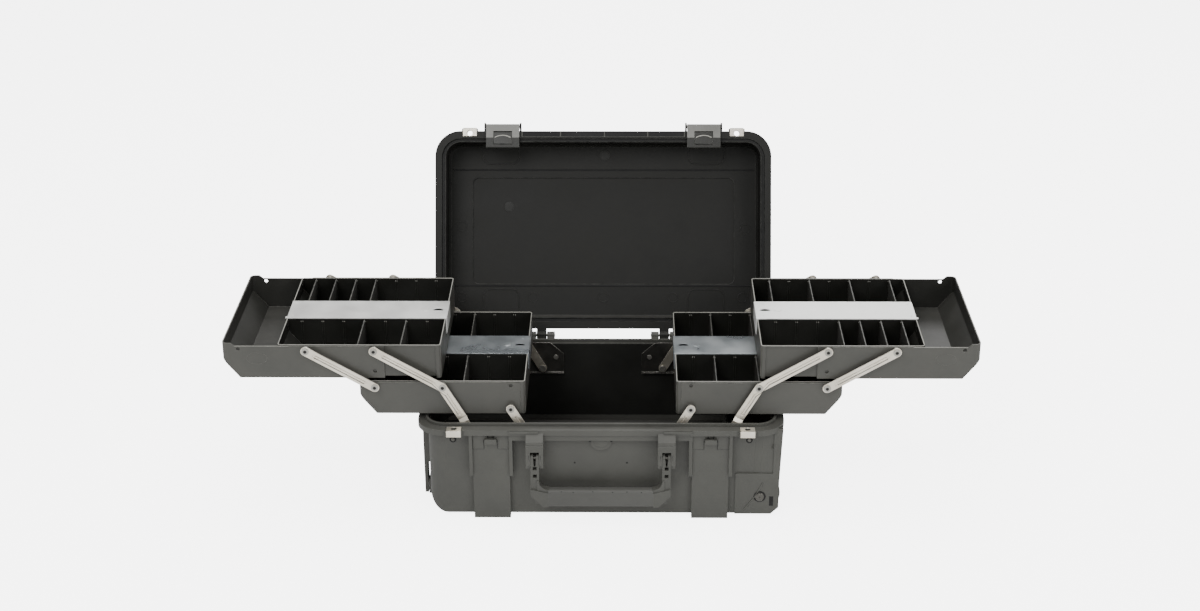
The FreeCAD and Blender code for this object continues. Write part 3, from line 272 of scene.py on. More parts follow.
print("stage: finishes")
surface = {"blotch": 11.0, "lineScale": 90.0, "lineStretch": 0.05, "metallic": 0.82,
           "gloss": 1.47, "edgeWidth": 0.0007, "edgeBreakUp": 90.0, "dustScale": 28.0,
           "dustColour": (0.42, 0.41, 0.37), "bumpDepth": 0.0004}
finishes = {  # base colours, rubbed-edge colour (a painted highlight on the dividers), roughness low and high; a metal has no grain
    "case_plastic": dict(
        dark=(0.046, 0.046, 0.040), light=(0.063, 0.063, 0.055), edge=(0.16, 0.16, 0.145),
        rough=(0.46, 0.60), grain=700.0, bump=0.10, wear=0.55, dust=0.10),
    "tray_shell_plastic": dict(
        dark=(0.047, 0.047, 0.041), light=(0.064, 0.063, 0.055), edge=(0.22, 0.215, 0.19),
        rough=(0.40, 0.54), grain=1000.0, bump=0.06, wear=0.7, dust=0.12),
    "tray_insert_plastic": dict(
        dark=(0.044, 0.044, 0.038), light=(0.058, 0.057, 0.050), edge=(0.20, 0.195, 0.17),
        rough=(0.34, 0.50), grain=1200.0, bump=0.05, wear=0.6, dust=0.10),
    # the dividers' pale edge colour is a painted highlight on their lit top edges
    "divider_plastic": dict(
        dark=(0.030, 0.030, 0.027), light=(0.046, 0.045, 0.040), edge=(0.42, 0.41, 0.37),
        rough=(0.38, 0.52), grain=1200.0, bump=0.05, wear=0.9, dust=0.08),
    "latch_plastic": dict(
        dark=(0.150, 0.149, 0.138), light=(0.205, 0.203, 0.190), edge=(0.36, 0.355, 0.33),
        rough=(0.36, 0.50), grain=900.0, bump=0.07, wear=0.6, dust=0.10),
    "wheel_plastic": dict(
        dark=(0.045, 0.045, 0.043), light=(0.066, 0.066, 0.062), edge=(0.15, 0.15, 0.14),
        rough=(0.44, 0.60), grain=800.0, bump=0.08, wear=0.5, dust=0.16),
    "grip_rubber": dict(
        dark=(0.052, 0.052, 0.047), light=(0.070, 0.070, 0.064), edge=(0.12, 0.12, 0.11),
        rough=(0.58, 0.72), grain=520.0, bump=0.16, wear=0.4, dust=0.12),
    "tyre_rubber": dict(
        dark=(0.022, 0.022, 0.021), light=(0.036, 0.036, 0.034), edge=(0.07, 0.07, 0.066),
        rough=(0.66, 0.82), grain=420.0, bump=0.2, wear=0.5, dust=0.3),
    "gasket_rubber": dict(
        dark=(0.012, 0.012, 0.012), light=(0.020, 0.020, 0.019), edge=(0.03, 0.03, 0.03),
        rough=(0.70, 0.85), grain=600.0, bump=0.2, wear=0.2, dust=0.05),
    "plated_steel": dict(
        dark=(0.64, 0.595, 0.50), light=(0.82, 0.77, 0.67), edge=(0.88, 0.85, 0.78),
        rough=(0.30, 0.46), bump=0.03, wear=0.7, dust=0.04),
    "lock_plate_steel": dict(
        dark=(0.66, 0.62, 0.53), light=(0.84, 0.80, 0.71), edge=(0.93, 0.90, 0.83),
        rough=(0.34, 0.48), bump=0.03, wear=0.6, dust=0.05),
    "fastener_steel": dict(
        dark=(0.33, 0.32, 0.29), light=(0.50, 0.49, 0.45), edge=(0.75, 0.73, 0.68),
        rough=(0.32, 0.50), bump=0.02, wear=0.8, dust=0.03),
    "upper_bar_aluminium": dict(
        dark=(0.84, 0.84, 0.81), light=(0.95, 0.95, 0.92), edge=(0.93, 0.93, 0.90),
        rough=(0.36, 0.52), bump=0.05, wear=0.7, dust=0.06),
    "lower_bar_steel": dict(
        dark=(0.33, 0.36, 0.38), light=(0.46, 0.49, 0.50), edge=(0.72, 0.74, 0.74),
        rough=(0.26, 0.40), bump=0.04, wear=0.7, dust=0.05),
    "tube_aluminium": dict(
        dark=(0.55, 0.55, 0.55), light=(0.68, 0.68, 0.68), edge=(0.85, 0.85, 0.85),
        rough=(0.28, 0.40), bump=0.02, wear=0.5, dust=0.03),
    # painted highlight: the thin light lines where rims, lips and top edges catch the light
    "painted_rim_highlight": dict(
        dark=(0.30, 0.295, 0.265), light=(0.42, 0.41, 0.37), edge=(0.52, 0.51, 0.46),
        rough=(0.40, 0.55), grain=1000.0, bump=0.03, wear=0.5, dust=0.05),
    # dark steel for the pins, axles, brackets and screws, and also painted shade on the arm bead lines and rivet
    # eyes
    "dark_steel_and_painted_shade": dict(
        dark=(0.075, 0.073, 0.066), light=(0.12, 0.115, 0.105), edge=(0.62, 0.60, 0.55),
        rough=(0.30, 0.44), bump=0.02, wear=0.9, dust=0.03),
    # painted shade for small pieces inside hollows, grooves and seams
    "painted_shade_plastic": dict(
        dark=(0.012, 0.012, 0.010), light=(0.020, 0.020, 0.017), edge=(0.10, 0.10, 0.09),
        rough=(0.34, 0.48), grain=1000.0, bump=0.04, wear=0.4, dust=0.05),
    # painted shade for the marks inside the lid
    "lid_painted_shade": dict(
        dark=(0.0080, 0.0080, 0.0068), light=(0.0130, 0.0130, 0.0112), edge=(0.060, 0.060, 0.054),
        rough=(0.40, 0.55), grain=1000.0, bump=0.04, wear=0.5, dust=0.02, ior=1.36),
    # painted shade standing in for holes, slots, pockets, creases and dots
    "dark_hole": dict(
        dark=(0.004, 0.004, 0.004), light=(0.008, 0.008, 0.008), edge=(0.01, 0.01, 0.01),
        rough=(0.7, 0.9), grain=900.0, bump=0.02, wear=0.1, dust=0.0),
}


def mixColours(tree, mask, first, second):
    colours = [value if isinstance(value, bpy.types.NodeSocket) else (*value, 1.0)
               for value in (first, second)]
    mix = addNode(tree, "ShaderNodeMix", {"Factor": mask, 6: colours[0], 7: colours[1]},
                  data_type="RGBA")  # inputs 6 and 7 and output 2 are the colour ones
    return mix.outputs[2]


def placeGroup(tree, group, values):
    return addNode(tree, "ShaderNodeGroup", values, node_tree=group).outputs


def makeFinish(name, look, paintedShadeSpec=None):
    finish = bpy.data.materials.new(name)
    finish.use_nodes = True
    tree = finish.node_tree
    link = tree.links.new
    shader = tree.nodes["Principled BSDF"].inputs
    if "grain" in look:
        texture = placeGroup(tree, grainEffect, {"Scale": look["grain"],
                                                 "Blotch": surface["blotch"]})
        blotches = texture["Blotches"]
        shader["Metallic"].default_value = 0.0
        shader["IOR"].default_value = look.get("ior", surface["gloss"])
    else:
        texture = placeGroup(tree, lineEffect, {"Scale": surface["lineScale"],
                                                "Stretch": surface["lineStretch"]})
        blotches = texture["Streaks"]
        shader["Metallic"].default_value = surface["metallic"]
    edges = placeGroup(tree, edgeEffect, {"Width": surface["edgeWidth"],
                                          "Break Up": surface["edgeBreakUp"]})
    dust = placeGroup(tree, dustEffect, {"Amount": look["dust"], "Scale": surface["dustScale"]})
    colour = mixColours(tree, blotches, look["dark"], look["light"])
    # painted shade: the insides get a darker colour
    if paintedShadeSpec is not None:
        if paintedShadeSpec["half"] is None:
            shadeMask = placeGroup(tree, shadeFacingEffect, {"Centre": paintedShadeSpec["centre"]})
        else:
            shadeMask = placeGroup(tree, shadeBoxEffect, {
                "Centre": paintedShadeSpec["centre"], "Half": paintedShadeSpec["half"], "Corner": paintedShadeSpec["corner"]})
        paintedShadeColour = mixColours(tree, blotches, paintedShadeSpec["dark"], paintedShadeSpec["light"])
        colour = mixColours(tree, shadeMask["Mask"], colour, paintedShadeColour)
    worn = addMath(tree, "MULTIPLY", edges["Mask"], look["wear"])
    colour = mixColours(tree, worn, colour, look["edge"])
    colour = mixColours(tree, dust["Mask"], colour, surface["dustColour"])
    link(colour, shader["Base Color"])
    rough = addNode(tree, "ShaderNodeMapRange", {"Value": blotches, "To Min": look["rough"][0],
                                                 "To Max": look["rough"][1]})
    link(rough.outputs["Result"], shader["Roughness"])
    bump = addNode(tree, "ShaderNodeBump", {
        "Strength": look["bump"], "Distance": surface["bumpDepth"],
        "Height": texture["Height"], "Normal": edges["Soft Normal"]})
    link(bump.outputs["Normal"], shader["Normal"])
    return finish


finish = {name: makeFinish(name, look) for name, look in finishes.items()}
hinge = Vector(joints["lid_hinge"]["pos_m"])
lidTilt = math.radians(-113.4)  # from shut to the open rest position
opened = (Matrix.Translation(hinge) @ Matrix.Rotation(lidTilt, 4, "X")
          @ Matrix.Translation(-hinge))
# painted shade: darker colours for the insides of the case, lid, tray shells, inserts and latch cut-outs, where
# shade falls
paintedShadeTones = {
    "case": dict(dark=(0.0062, 0.0062, 0.0050), light=(0.0105, 0.0105, 0.0085), ior=1.47),
    "lid": dict(dark=(0.0062, 0.0062, 0.0052), light=(0.0115, 0.0115, 0.0098), ior=1.32),
    "shell": dict(dark=(0.0150, 0.0150, 0.0128), light=(0.0240, 0.0240, 0.0205), ior=1.47),
    "insert": dict(dark=(0.0075, 0.0075, 0.0060), light=(0.0125, 0.0125, 0.0105), ior=1.44),
    "latch": dict(dark=(0.0140, 0.0140, 0.0122), light=(0.0220, 0.0220, 0.0195), ior=1.42),
}
darker = {"front_handle_pins": "dark_steel_and_painted_shade", "wheel_axles": "dark_steel_and_painted_shade",
          "left_brackets": "dark_steel_and_painted_shade", "right_brackets": "dark_steel_and_painted_shade"}


def paintedShadeArea(tone, centre, half=None, corner=0.0):  # painted shade area; no half size: the faces that look inwards
    return dict(paintedShadeTones[tone], centre=tuple(centre), half=half, corner=corner)


# painted shade on the insides of a tray shell and its insert
def trayPaintedShade(side, level):
    shell = f"{side}_{level}_tray_shell"
    low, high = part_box(shell)
    paintedShadeAreas[shell] = paintedShadeArea("shell", ((low.x + high.x) / 2, 0.0, low.z + 0.045))
    insert = f"{side}_{level}_tray_insert"
    low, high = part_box(insert)
    half = ((high.x - low.x) / 2 - 0.0009, 0.1267, (high.z - low.z) / 2 + 0.0180)
    centre = ((low.x + high.x) / 2, 0.0, low.z + 0.0010 + half[2])
    paintedShadeAreas[insert] = paintedShadeArea("insert", centre, half, 0.003)


paintedShadeAreas = {  # painted shade on the insides: centre, half size and corner radius in metres
    "base_shell": paintedShadeArea("case", (0.0, 0.0, 0.1390), (0.2630, 0.1463, 0.1322), 0.0270),
    "lid_shell": paintedShadeArea("lid", opened @ Vector((0.0, 0.0, 0.0900))),
}
for side, sign in sides.items():
    latchX = sign * 0.167
    # painted shade in the cut-outs of the latches
    paintedShadeAreas[f"{side}_latch"] = paintedShadeArea("latch", (latchX, 0.305, 0.4475), (0.03, 0.025, 0.0125))
    paintedShadeAreas[f"{side}_latch_trigger"] = paintedShadeArea("latch", (latchX, 0.305, 0.4540),
                                                (0.03, 0.025, 0.02))
    for level in ("lower", "upper"):
        trayPaintedShade(side, level)
for row in frame["record"]["subparts"]:
    slotName = row["material_slot"]
    name = row["node"]
    look = finish[darker.get(name, slotName)]
    if name in paintedShadeAreas:
        plain = dict(finishes[slotName], ior=paintedShadeAreas[name]["ior"])
        look = makeFinish(f"{slotName}_{name}", plain, paintedShadeAreas[name])
    node = frame["nodes"][name]
    node.data.materials.clear()
    node.data.materials.append(look)

print("stage: shaping tools")
castTrees = {}
settleFrom = 12.0  # a settling ray starts this far above its point
settleReach = 30.0  # and ends after this length


def at(x, y, z):  # a place given in millimetres
    return Vector((x, y, z)) * mm


def settle(node, point, towards):  # drops a point onto a CAD surface along a direction
    if node not in castTrees:
        mesh = frame["nodes"][node].data
        castTrees[node] = BVHTree.FromPolygons([vertex.co for vertex in mesh.vertices],
                                              [face.vertices for face in mesh.polygons])
    way = Vector(towards).normalized()
    hit = castTrees[node].ray_cast(point - way * settleFrom * mm, way, settleReach * mm)[0]
    return point if hit is None else hit


def onFront(x, z, y=-152.0, node="base_shell"):
    return settle(node, at(x, y, z), (0, 1, 0))


def newPiece(name, body, slotName, build, paint=None, turn=None):
    shape = bmesh.new()
    build(shape)
    if turn is not None:
        shape.transform(turn)
    bmesh.ops.recalc_face_normals(shape, faces=shape.faces)
    mesh = bpy.data.meshes.new(name)
    shape.to_mesh(mesh)
    shape.free()
    piece = bpy.data.objects.new(name, mesh)
    bpy.context.scene.collection.objects.link(piece)
    mesh.materials.append(finish[paint or slotName])
    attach(piece, body)


def addHull(shape, rings, rounding=0.0):  # closed rings of equal length, capped at both ends
    loops = [[shape.verts.new(point) for point in ring] for ring in rings]
    count = len(loops[0])
    made = [shape.faces.new(loops[0][::-1]), shape.faces.new(loops[-1])]
    for first, second in zip(loops, loops[1:]):
        for i in range(count):
            j = (i + 1) % count
            made.append(shape.faces.new((first[i], first[j], second[j], second[i])))
    if rounding:
        edges = list({edge for face in made for edge in face.edges
                      if edge.calc_face_angle(0.0) > 0.5})
        bmesh.ops.bevel(shape, geom=edges, offset=rounding * mm, segments=2, profile=0.5,
                        affect="EDGES", clamp_overlap=True)


def closeLoops(shape, profiles):  # skins a closed row of closed profiles
    loops = [[shape.verts.new(point) for point in profile] for profile in profiles]
    for i, loop in enumerate(loops):
        after = loops[(i + 1) % len(loops)]
        for k in range(len(loop)):
            m = (k + 1) % len(loop)
            shape.faces.new((loop[k], loop[m], after[m], after[k]))


def addBlock(shape, low, high, rounding=0.0):
    (x0, x1), (y0, y1), (z0, z1) = [sorted(pair) for pair in zip(low, high)]
    rings = [[(x0, y0, z), (x1, y0, z), (x1, y1, z), (x0, y1, z)] for z in (z0, z1)]
    addHull(shape, rings, rounding)


def addPrism(shape, outline, axis, start, end):
    place = {"x": lambda a, b, c: at(c, a, b), "y": lambda a, b, c: at(a, c, b),
             "z": lambda a, b, c: at(a, b, c)}[axis]
    addHull(shape, [[place(a, b, level) for a, b in outline] for level in (start, end)])


def circle(count):
    turns = [2 * math.pi * i / count for i in range(count)]
    return [(math.cos(turn), math.sin(turn)) for turn in turns]


def across(axis):  # the axis and two directions square to it
    along = Vector({"x": (1, 0, 0), "y": (0, 1, 0), "z": (0, 0, 1)}[axis])
    first = along.orthogonal().normalized()
    return along, first, along.cross(first)


def addRing(shape, centre, axis, outer, inner, depth, count=28):  # depth along the axis, signed
    along, first, second = across(axis)
    bevel = abs(depth) * 0.3
    profile = ((outer, 0.0), (outer, depth * 0.7), (outer - bevel, depth),
               (inner + bevel, depth), (inner, depth * 0.7), (inner, 0.0))
    closeLoops(shape, [[centre + ((first * a + second * b) * radius + along * lift) * mm
                        for radius, lift in profile] for a, b in circle(count)])


def addDisc(shape, centre, axis, radius, depth, count=24):
    along, first, second = across(axis)
    addHull(shape, [[centre + ((first * a + second * b) * size + along * lift) * mm
                     for a, b in circle(count)]
                    for size, lift in ((radius, 0.0), (radius, depth * 0.7),
                                       (radius * 0.9, depth))])


def addRidge(shape, path, normal, width, rise, closed=False):  # low rounded bead on a face
    lift = Vector(normal) * rise * mm
    last = len(path) - 1
    rings = []
    for i, point in enumerate(path):
        before = path[i - 1] if closed or i > 0 else point
        after = path[(i + 1) % len(path)] if closed or i < last else point
        edge = (after - before).normalized().cross(Vector(normal)) * (width * mm / 2)
        rings.append([point - edge, point - edge * 0.6 + lift, point + edge * 0.6 + lift,
                      point + edge])
    skin = closeLoops if closed else addHull
    skin(shape, rings)


print("stage: tray details")
rims = {"width": 1.5, "rise": 0.35, "inset": 0.9, "half": 126.6, "corner": 4.0, "sink": 0.02}
slotRibs = {"length": 251.5, "first": 29.0, "pitch": 32.3, "count": 7, "apart": 1.35,
            "half": 0.5, "rise": 0.9, "sink": 0.2, "taper": 0.8, "wallInside": 125.7,
            "channel": 32.5, "foot": 4.3, "topGap": 3.2}
slotTips = {"half": 0.55, "drop": 0.5, "height": 0.9, "proud": 0.15}
studs = {"radius": 1.0, "rise": 0.8, "inset": 1.6, "drops": (6.0, 14.0), "y": (44.0, 112.0)}
shellLip = {"height": 52.0, "y": 128.9, "ends": (16.5, 60.0), "inner": 22.0, "inset": 1.1,
            "outerY": (-122, -60, 60, 122), "width": 1.3, "rise": 0.3}
gripTeeth = {"count": 61, "start": -120.0, "pitch": 4.0, "half": 0.7, "reach": (1.9, 0.2),
             "height": (4.6, 5.7)}
gateMark = {"inset": 52.0, "y": -130.0, "height": 32.0, "half": (16.0, 9.5),
            "steps": ((1.0, 0.1), (0.985, -0.12), (0.9, -0.16))}


def rimPath(x0, x1, half, z, corner):
    points = []
    for x, y, start in ((x1, half, 0), (x0, half, 90), (x0, -half, 180), (x1, -half, 270)):
        cx = x - corner if x == x1 else x + corner
        cy = y - corner if y > 0 else y + corner
        for step in range(5):
            angle = math.radians(start + 22.5 * step)
            points.append(at(cx + corner * math.cos(angle), cy + corner * math.sin(angle), z))
    return points


def dressInsert(side, level):
    sign = sides[side]
    body = f"{side}_upper_insert" if level == "upper" else f"{side}_lower_tray"
    low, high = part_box(f"{side}_{level}_tray_insert")
    inner, outer = sorted((abs(low.x) / mm, abs(high.x) / mm))
    top = high.z / mm
    walls = [(row, wall, face) for row in (-1, 1)
             for wall, face in ((slotRibs["wallInside"], -1), (slotRibs["channel"], 1))]
    start = inner + slotRibs["length"] - slotRibs["first"]
    slots = [sign * (start - k * slotRibs["pitch"] + off * slotRibs["apart"])
             for k in range(slotRibs["count"]) for off in (-1, 1)]

    # the slot ribs are painted shade, as they stand inside the insert
    def ribs(shape):
        half = slotRibs["half"]
        crest = top - slotRibs["topGap"]
        foot = low.z / mm + slotRibs["foot"]
        for row, wall, face in walls:
            near = row * wall
            far = row * (wall + face * slotRibs["rise"])
            root = near - slotRibs["sink"] * row * face
            for x in slots:
                addHull(shape, [[at(x - half, root, z), at(x + half, root, z),
                                 at(x + half * 0.6, reach, z), at(x - half * 0.6, reach, z)]
                                for z, reach in ((foot, far), (crest - slotRibs["taper"], far),
                                                 (crest, near))])

    # painted highlight on the lit tips of the slot ribs
    def tips(shape):
        half = slotTips["half"]
        crest = top - slotRibs["topGap"] - slotTips["drop"]
        for row, wall, face in walls:
            reach = wall + face * (slotRibs["rise"] + slotTips["proud"])
            for x in slots:
                addBlock(shape, at(x - half, row * (reach - face), crest - slotTips["height"]),
                         at(x + half, row * reach, crest))

    # painted highlight along the insert's lit rim
    def bead(shape):
        x0, x1 = sorted((sign * inner, sign * outer))
        path = rimPath(x0 + rims["inset"], x1 - rims["inset"], rims["half"],
                       top - rims["sink"], rims["corner"])
        addRidge(shape, path, (0, 0, 1), rims["width"], rims["rise"], closed=True)

    # the end studs are painted shade, inside the insert
    def pins(shape):
        x = sign * (outer - studs["inset"])
        for row in (-1, 1):
            for y in studs["y"]:
                for drop in studs["drops"]:
                    addDisc(shape, at(x, row * y, top - drop), "x", studs["radius"],
                            -sign * studs["rise"], 10)

    for name, build, paint in (("slot_tips", tips, "painted_rim_highlight"), ("slot_ribs", ribs, "painted_shade_plastic"),
                               ("insert_rim", bead, "painted_rim_highlight"),
                               ("end_studs", pins, "painted_shade_plastic")):
        newPiece(f"{side}_{level}_{name}", body, "tray_insert_plastic", build, paint)


def dressShell(side, level):
    sign = sides[side]
    low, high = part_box(f"{side}_{level}_tray_shell")
    inner, outer = sorted((abs(low.x) / mm, abs(high.x) / mm))
    top = low.z / mm + shellLip["height"]

    # painted highlight along the lit edges of the shell's lip
    def lip(shape):
        ends = [outer - inset for inset in shellLip["ends"]] + [inner + shellLip["inner"]]
        paths = [[at(sign * x, row * shellLip["y"], top) for x in ends] for row in (-1, 1)]
        paths.append([at(sign * (outer - shellLip["inset"]), y, high.z / mm)
                      for y in shellLip["outerY"]])
        for path in paths:
            addRidge(shape, path, (0, 0, 1), shellLip["width"], shellLip["rise"])

    def teeth(shape):  # fine grip notches on the outer end of the lip
        x0, x1 = [sign * (outer - reach) for reach in gripTeeth["reach"]]
        z0, z1 = [top + height for height in gripTeeth["height"]]
        for k in range(gripTeeth["count"]):
            y = gripTeeth["start"] + gripTeeth["pitch"] * k
            addBlock(shape, at(x0, y - gripTeeth["half"], z0), at(x1, y + gripTeeth["half"], z1))

    def gate(shape):
        centre = at(sign * (outer - gateMark["inset"]), gateMark["y"],
                    low.z / mm + gateMark["height"])
        long, tall = gateMark["half"]
        addHull(shape, [[centre + at(a * long * size, lift, b * tall * size)
                         for a, b in circle(40)] for size, lift in gateMark["steps"]])

    body = f"{side}_{level}_tray"
    newPiece(f"{side}_{level}_shell_lip", body, "tray_shell_plastic", lip, "painted_rim_highlight")
    newPiece(f"{side}_{level}_grip_teeth", body, "tray_shell_plastic", teeth)
    if level == "upper":
        newPiece(f"{side}_{level}_gate_mark", body, "tray_shell_plastic", gate)


for side in sides:
    for level in ("lower", "upper"):
        dressInsert(side, level)
        dressShell(side, level)

print("stage: lid details")
lidFace = {"ceiling": 222.3, "flange": 157.2}
lidInward = opened.to_3x3() @ Vector((0, 0, -1))
latchOutline = {"x": (-173.5, 174.0), "half": 30.2, "front": (-140.5, -113.0),
                "rear": (134.0, 99.0), "corner": 12.0, "width": 1.8, "rise": 0.8}
creases = {"lines": (-103.0, 93.0), "half": 254.0, "width": 2.6, "rise": 0.8}
ejectors = {"radius": 8.6, "band": 1.0, "rise": 0.45, "sink": -0.1, "count": 28,
            "rings": ((0, 112.5), (-119, 112.5), (118, 112.5), (-240, 112.5), (236, 112.5),
                      (-240, -8), (240, -3)), "discs": ((-160, -41), (2, -128))}
channel = {"ribs": (-135.0, -71.0, 2.0, 74.0, 135.0), "ribHalf": 0.8, "ribY": (-164.0, -154.6),
           "ribRise": -0.95, "railY": (-164.0, -154.9), "railHalf": 0.35, "pocketInset": 2.2,
           "pocketY": (-163.0, -155.6), "pocketRise": -0.25, "sink": 0.3}
lidRib = {"y": (-66.0, -22.0, 22.0, 66.0), "half": (205.0, 5.0),
          "steps": ((228.6, 0.0), (229.6, 0.6), (230.0, 1.6))}
lidPlate = {"x": 222.0, "half": 11.5, "low": -168.2, "high": -156.0, "holeY": -160.9,
            "hole": 4.6, "thick": 0.24, "sink": 0.1}


def onCeiling(x, y, lift=0.0):
    point = opened @ at(x, y, lidFace["ceiling"])
    return settle("lid_shell", point, -lidInward) + lidInward * lift * mm


# painted shade along the latch outlines inside the lid
def lidOutlines(shape):
    half = latchOutline["half"]
    for centre in latchOutline["x"]:
        for edge, top in (latchOutline["front"], latchOutline["rear"]):
            corner = math.copysign(latchOutline["corner"], edge - top)
            flat = [(centre - half, edge), (centre - half, top + corner)]
            for step in range(1, 5):
                turn = math.radians(22.5 * step)
                flat.append((centre - half + abs(corner) * (1 - math.cos(turn)),
                             top + corner * (1 - math.sin(turn))))
            flat += [(2 * centre - x, y) for x, y in reversed(flat)]
            addRidge(shape, [onCeiling(x, y) for x, y in flat], lidInward,
                     latchOutline["width"], latchOutline["rise"])


# painted shade in the lid's crease lines
def lidCreases(shape):
    for y in creases["lines"]:
        steps = [-creases["half"] + creases["half"] * i / 16 for i in range(33)]
        addRidge(shape, [onCeiling(x, y) for x in steps], lidInward, creases["width"],
                 creases["rise"])


# the ejector marks inside the lid are painted shade
def lidEjectors(shape):
    outer, sink, rise = ejectors["radius"], ejectors["sink"], ejectors["rise"]
    inner = outer - ejectors["band"]
    turns = circle(ejectors["count"])
    for x, y in ejectors["rings"]:
        profile = ((outer, sink), (outer - 0.25, rise), (inner, rise), (inner - 0.2, sink))
        closeLoops(shape, [[onCeiling(x + radius * a, y + radius * b, lift)
                            for radius, lift in profile] for a, b in turns])
    for x, y in ejectors["discs"]:
        addHull(shape, [[onCeiling(x + size * outer * a, y + size * outer * b, lift)
                         for a, b in turns]
                        for size, lift in ((1.0, sink), (0.96, 0.35), (0.7, 0.4))])


def channelBlock(shape, x0, x1, y0, y1, rise):
    addBlock(shape, at(x0, y0, lidFace["flange"] + rise),
             at(x1, y1, lidFace["flange"] + channel["sink"]))


def channelPockets(shape):  # painted shade in the pockets between thin ribs on the lid's front flange
    inset = channel["pocketInset"]
    for x0, x1 in zip(channel["ribs"], channel["ribs"][1:]):
        channelBlock(shape, x0 + inset, x1 - inset, *channel["pocketY"], channel["pocketRise"])


def channelRibs(shape):
    half = channel["ribHalf"]
    for x in channel["ribs"]:
        channelBlock(shape, x - half, x + half, *channel["ribY"], channel["ribRise"])
    half = channel["railHalf"]
    for y in channel["railY"]:
        channelBlock(shape, channel["ribs"][0], channel["ribs"][-1], y - half, y + half,
                     channel["ribRise"])


def lidRibs(shape):  # stiffening ribs on the outside of the lid
    long, wide = lidRib["half"]
    for y in lidRib["y"]:
        addHull(shape, [[at(a * (long - inset), y + b * (wide - inset), z)
                         for a, b in ((-1, -1), (1, -1), (1, 1), (-1, 1))]
                        for z, inset in lidRib["steps"]])


def lidPlateFaces(shape):
    y, hole, thick = lidPlate["holeY"], lidPlate["hole"], -lidPlate["thick"]
    right, up, down = lidPlate["half"], lidPlate["high"] - y, lidPlate["low"] - y
    turns = sorted({math.atan2(b, a) for a in (-right, right) for b in (down, up)}
                   | {math.pi * i / 16 for i in range(-15, 17)})
    for sign in (-1, 1):
        profiles = []
        for turn in turns:
            a, b = math.cos(turn), math.sin(turn)
            reach = min(right / max(abs(a), 1e-6), (up if b > 0 else -down) / max(abs(b), 1e-6))
            profiles.append([at(sign * lidPlate["x"] + a * size, y + b * size,
                                lidFace["flange"] + lift)
                             for size, lift in ((reach, lidPlate["sink"]), (reach, thick),
                                                (hole, thick), (hole, lidPlate["sink"]))])
        closeLoops(shape, profiles)


newPiece("lid_lock_plate_faces", "lid", "lock_plate_steel", lidPlateFaces, turn=opened)
for name, build, paint, turn in (("latch_outlines", lidOutlines, "lid_painted_shade", None),
                                 ("creases", lidCreases, "dark_hole", None),
                                 ("ejector_marks", lidEjectors, "lid_painted_shade", None),
                                 ("channel_pockets", channelPockets, "dark_hole", opened),
                                 ("channel_ribs", channelRibs, None, opened),
                                 ("outer_ribs", lidRibs, None, opened)):
    newPiece(f"lid_{name}", "lid", "case_plastic", build, paint, turn)

print("stage: case front details")
column = {"x": 167.0, "low": 120.0, "high": 146.0, "half": 27.6, "back": -156.3,
          "face": -157.2, "archHalf": 10.5, "archSide": 14.0, "archRise": 6.0,
          "seam": (1.0, 0.12), "footSeam": (0.9, 0.5)}
columnSlot = {"x": (-4.2, 4.2), "half": 0.6, "y": (-158.6, -156.9), "z": (138.5, 146.0)}
flangeStrip = {"x": ((-139.0, -95.0), (95.0, 139.0)), "y": (-166.6, -163.9),
               "z": (150.6, 154.2), "rounding": 0.5}
lugs = {"x": 100.0, "half": 13.2, "cap": ((-175.6, 136.0), (-175.6, 141.0), (-164.3, 151.0),
                                          (-160.0, 151.0), (-160.0, 136.0)),
        "grooves": (-9.0, -4.6, 0.0, 4.6, 9.0), "grooveZ": (139.5, 118.0, 98.0),
        "front": -176.0, "face": -172.0, "width": 0.9, "rise": 0.55}
screws = {"places": ((-225.0, 131.5), (226.0, 131.5)), "radius": 2.6, "rise": 0.9,
          "well": 5.0, "wellWidth": 2.1, "wellRise": 0.7, "axle": (244.0, 35.0), "axleWell": 9.4}
valveNotch = {"outline": ((13.0, 134.5), (17.5, 136.0), (18.0, 132.5), (15.8, 131.0)),
              "y": (-147.6, -154.9)}
endPanel = {"outline": ((233.0, 147.9), (246.0, 148.9), (273.2, 148.9), (273.2, 146.9),
                        (246.0, 146.9)), "z": (66.0, 147.0)}
dots = {"case": ((-76.5, 133.5), (-73.0, 133.5), (77.5, 133.5), (73.5, 133.5), (40.0, 92.0),
                 (-40.0, 92.0)),
        "grip": ((-60.0, 57.6), (-42.0, 57.0), (-12.0, 57.8), (18.0, 57.2), (40.0, 57.6),
                 (62.0, 57.0)), "sink": 0.1}
housing = {"crease": ((262.0, 124.0), (259.0, 104.0), (255.0, 84.0), (248.0, 58.0),
                      (236.0, 34.0), (220.0, 12.0)), "front": -154.0, "width": 2.4,
           "rise": 1.1, "slot": (262.0, 27.0), "slotHalf": (3.0, 8.0), "slotY": (-0.4, 0.6)}
rearRib = {"x": (-225.0, -185.0, -145.0, -50.0, 0.0, 50.0, 145.0, 185.0, 225.0),
           "half": (2.2, 1.7), "sink": 0.5,
           "steps": ((18.0, 0.4), (26.0, 3.2), (132.0, 5.0), (144.0, 5.0))}


def archPath(x):
    half, foot = column["archHalf"], column["low"]
    shoulder = foot + column["archSide"]
    path = [(x - half, foot), (x - half, shoulder)]
    for step in range(1, 8):
        turn = math.radians(180 - 22.5 * step)
        path.append((x + half * math.cos(turn), shoulder + column["archRise"] * math.sin(turn)))
    return path + [(x + half, shoulder), (x + half, foot)]


def columnPads(shape):
    half = column["half"]
    for x in (-column["x"], column["x"]):
        outline = [(x - half, column["low"])] + archPath(x)
        outline += [(x + half, column["low"]), (x + half, column["high"]),
                    (x - half, column["high"])]
        addPrism(shape, outline, "y", column["back"], column["face"])


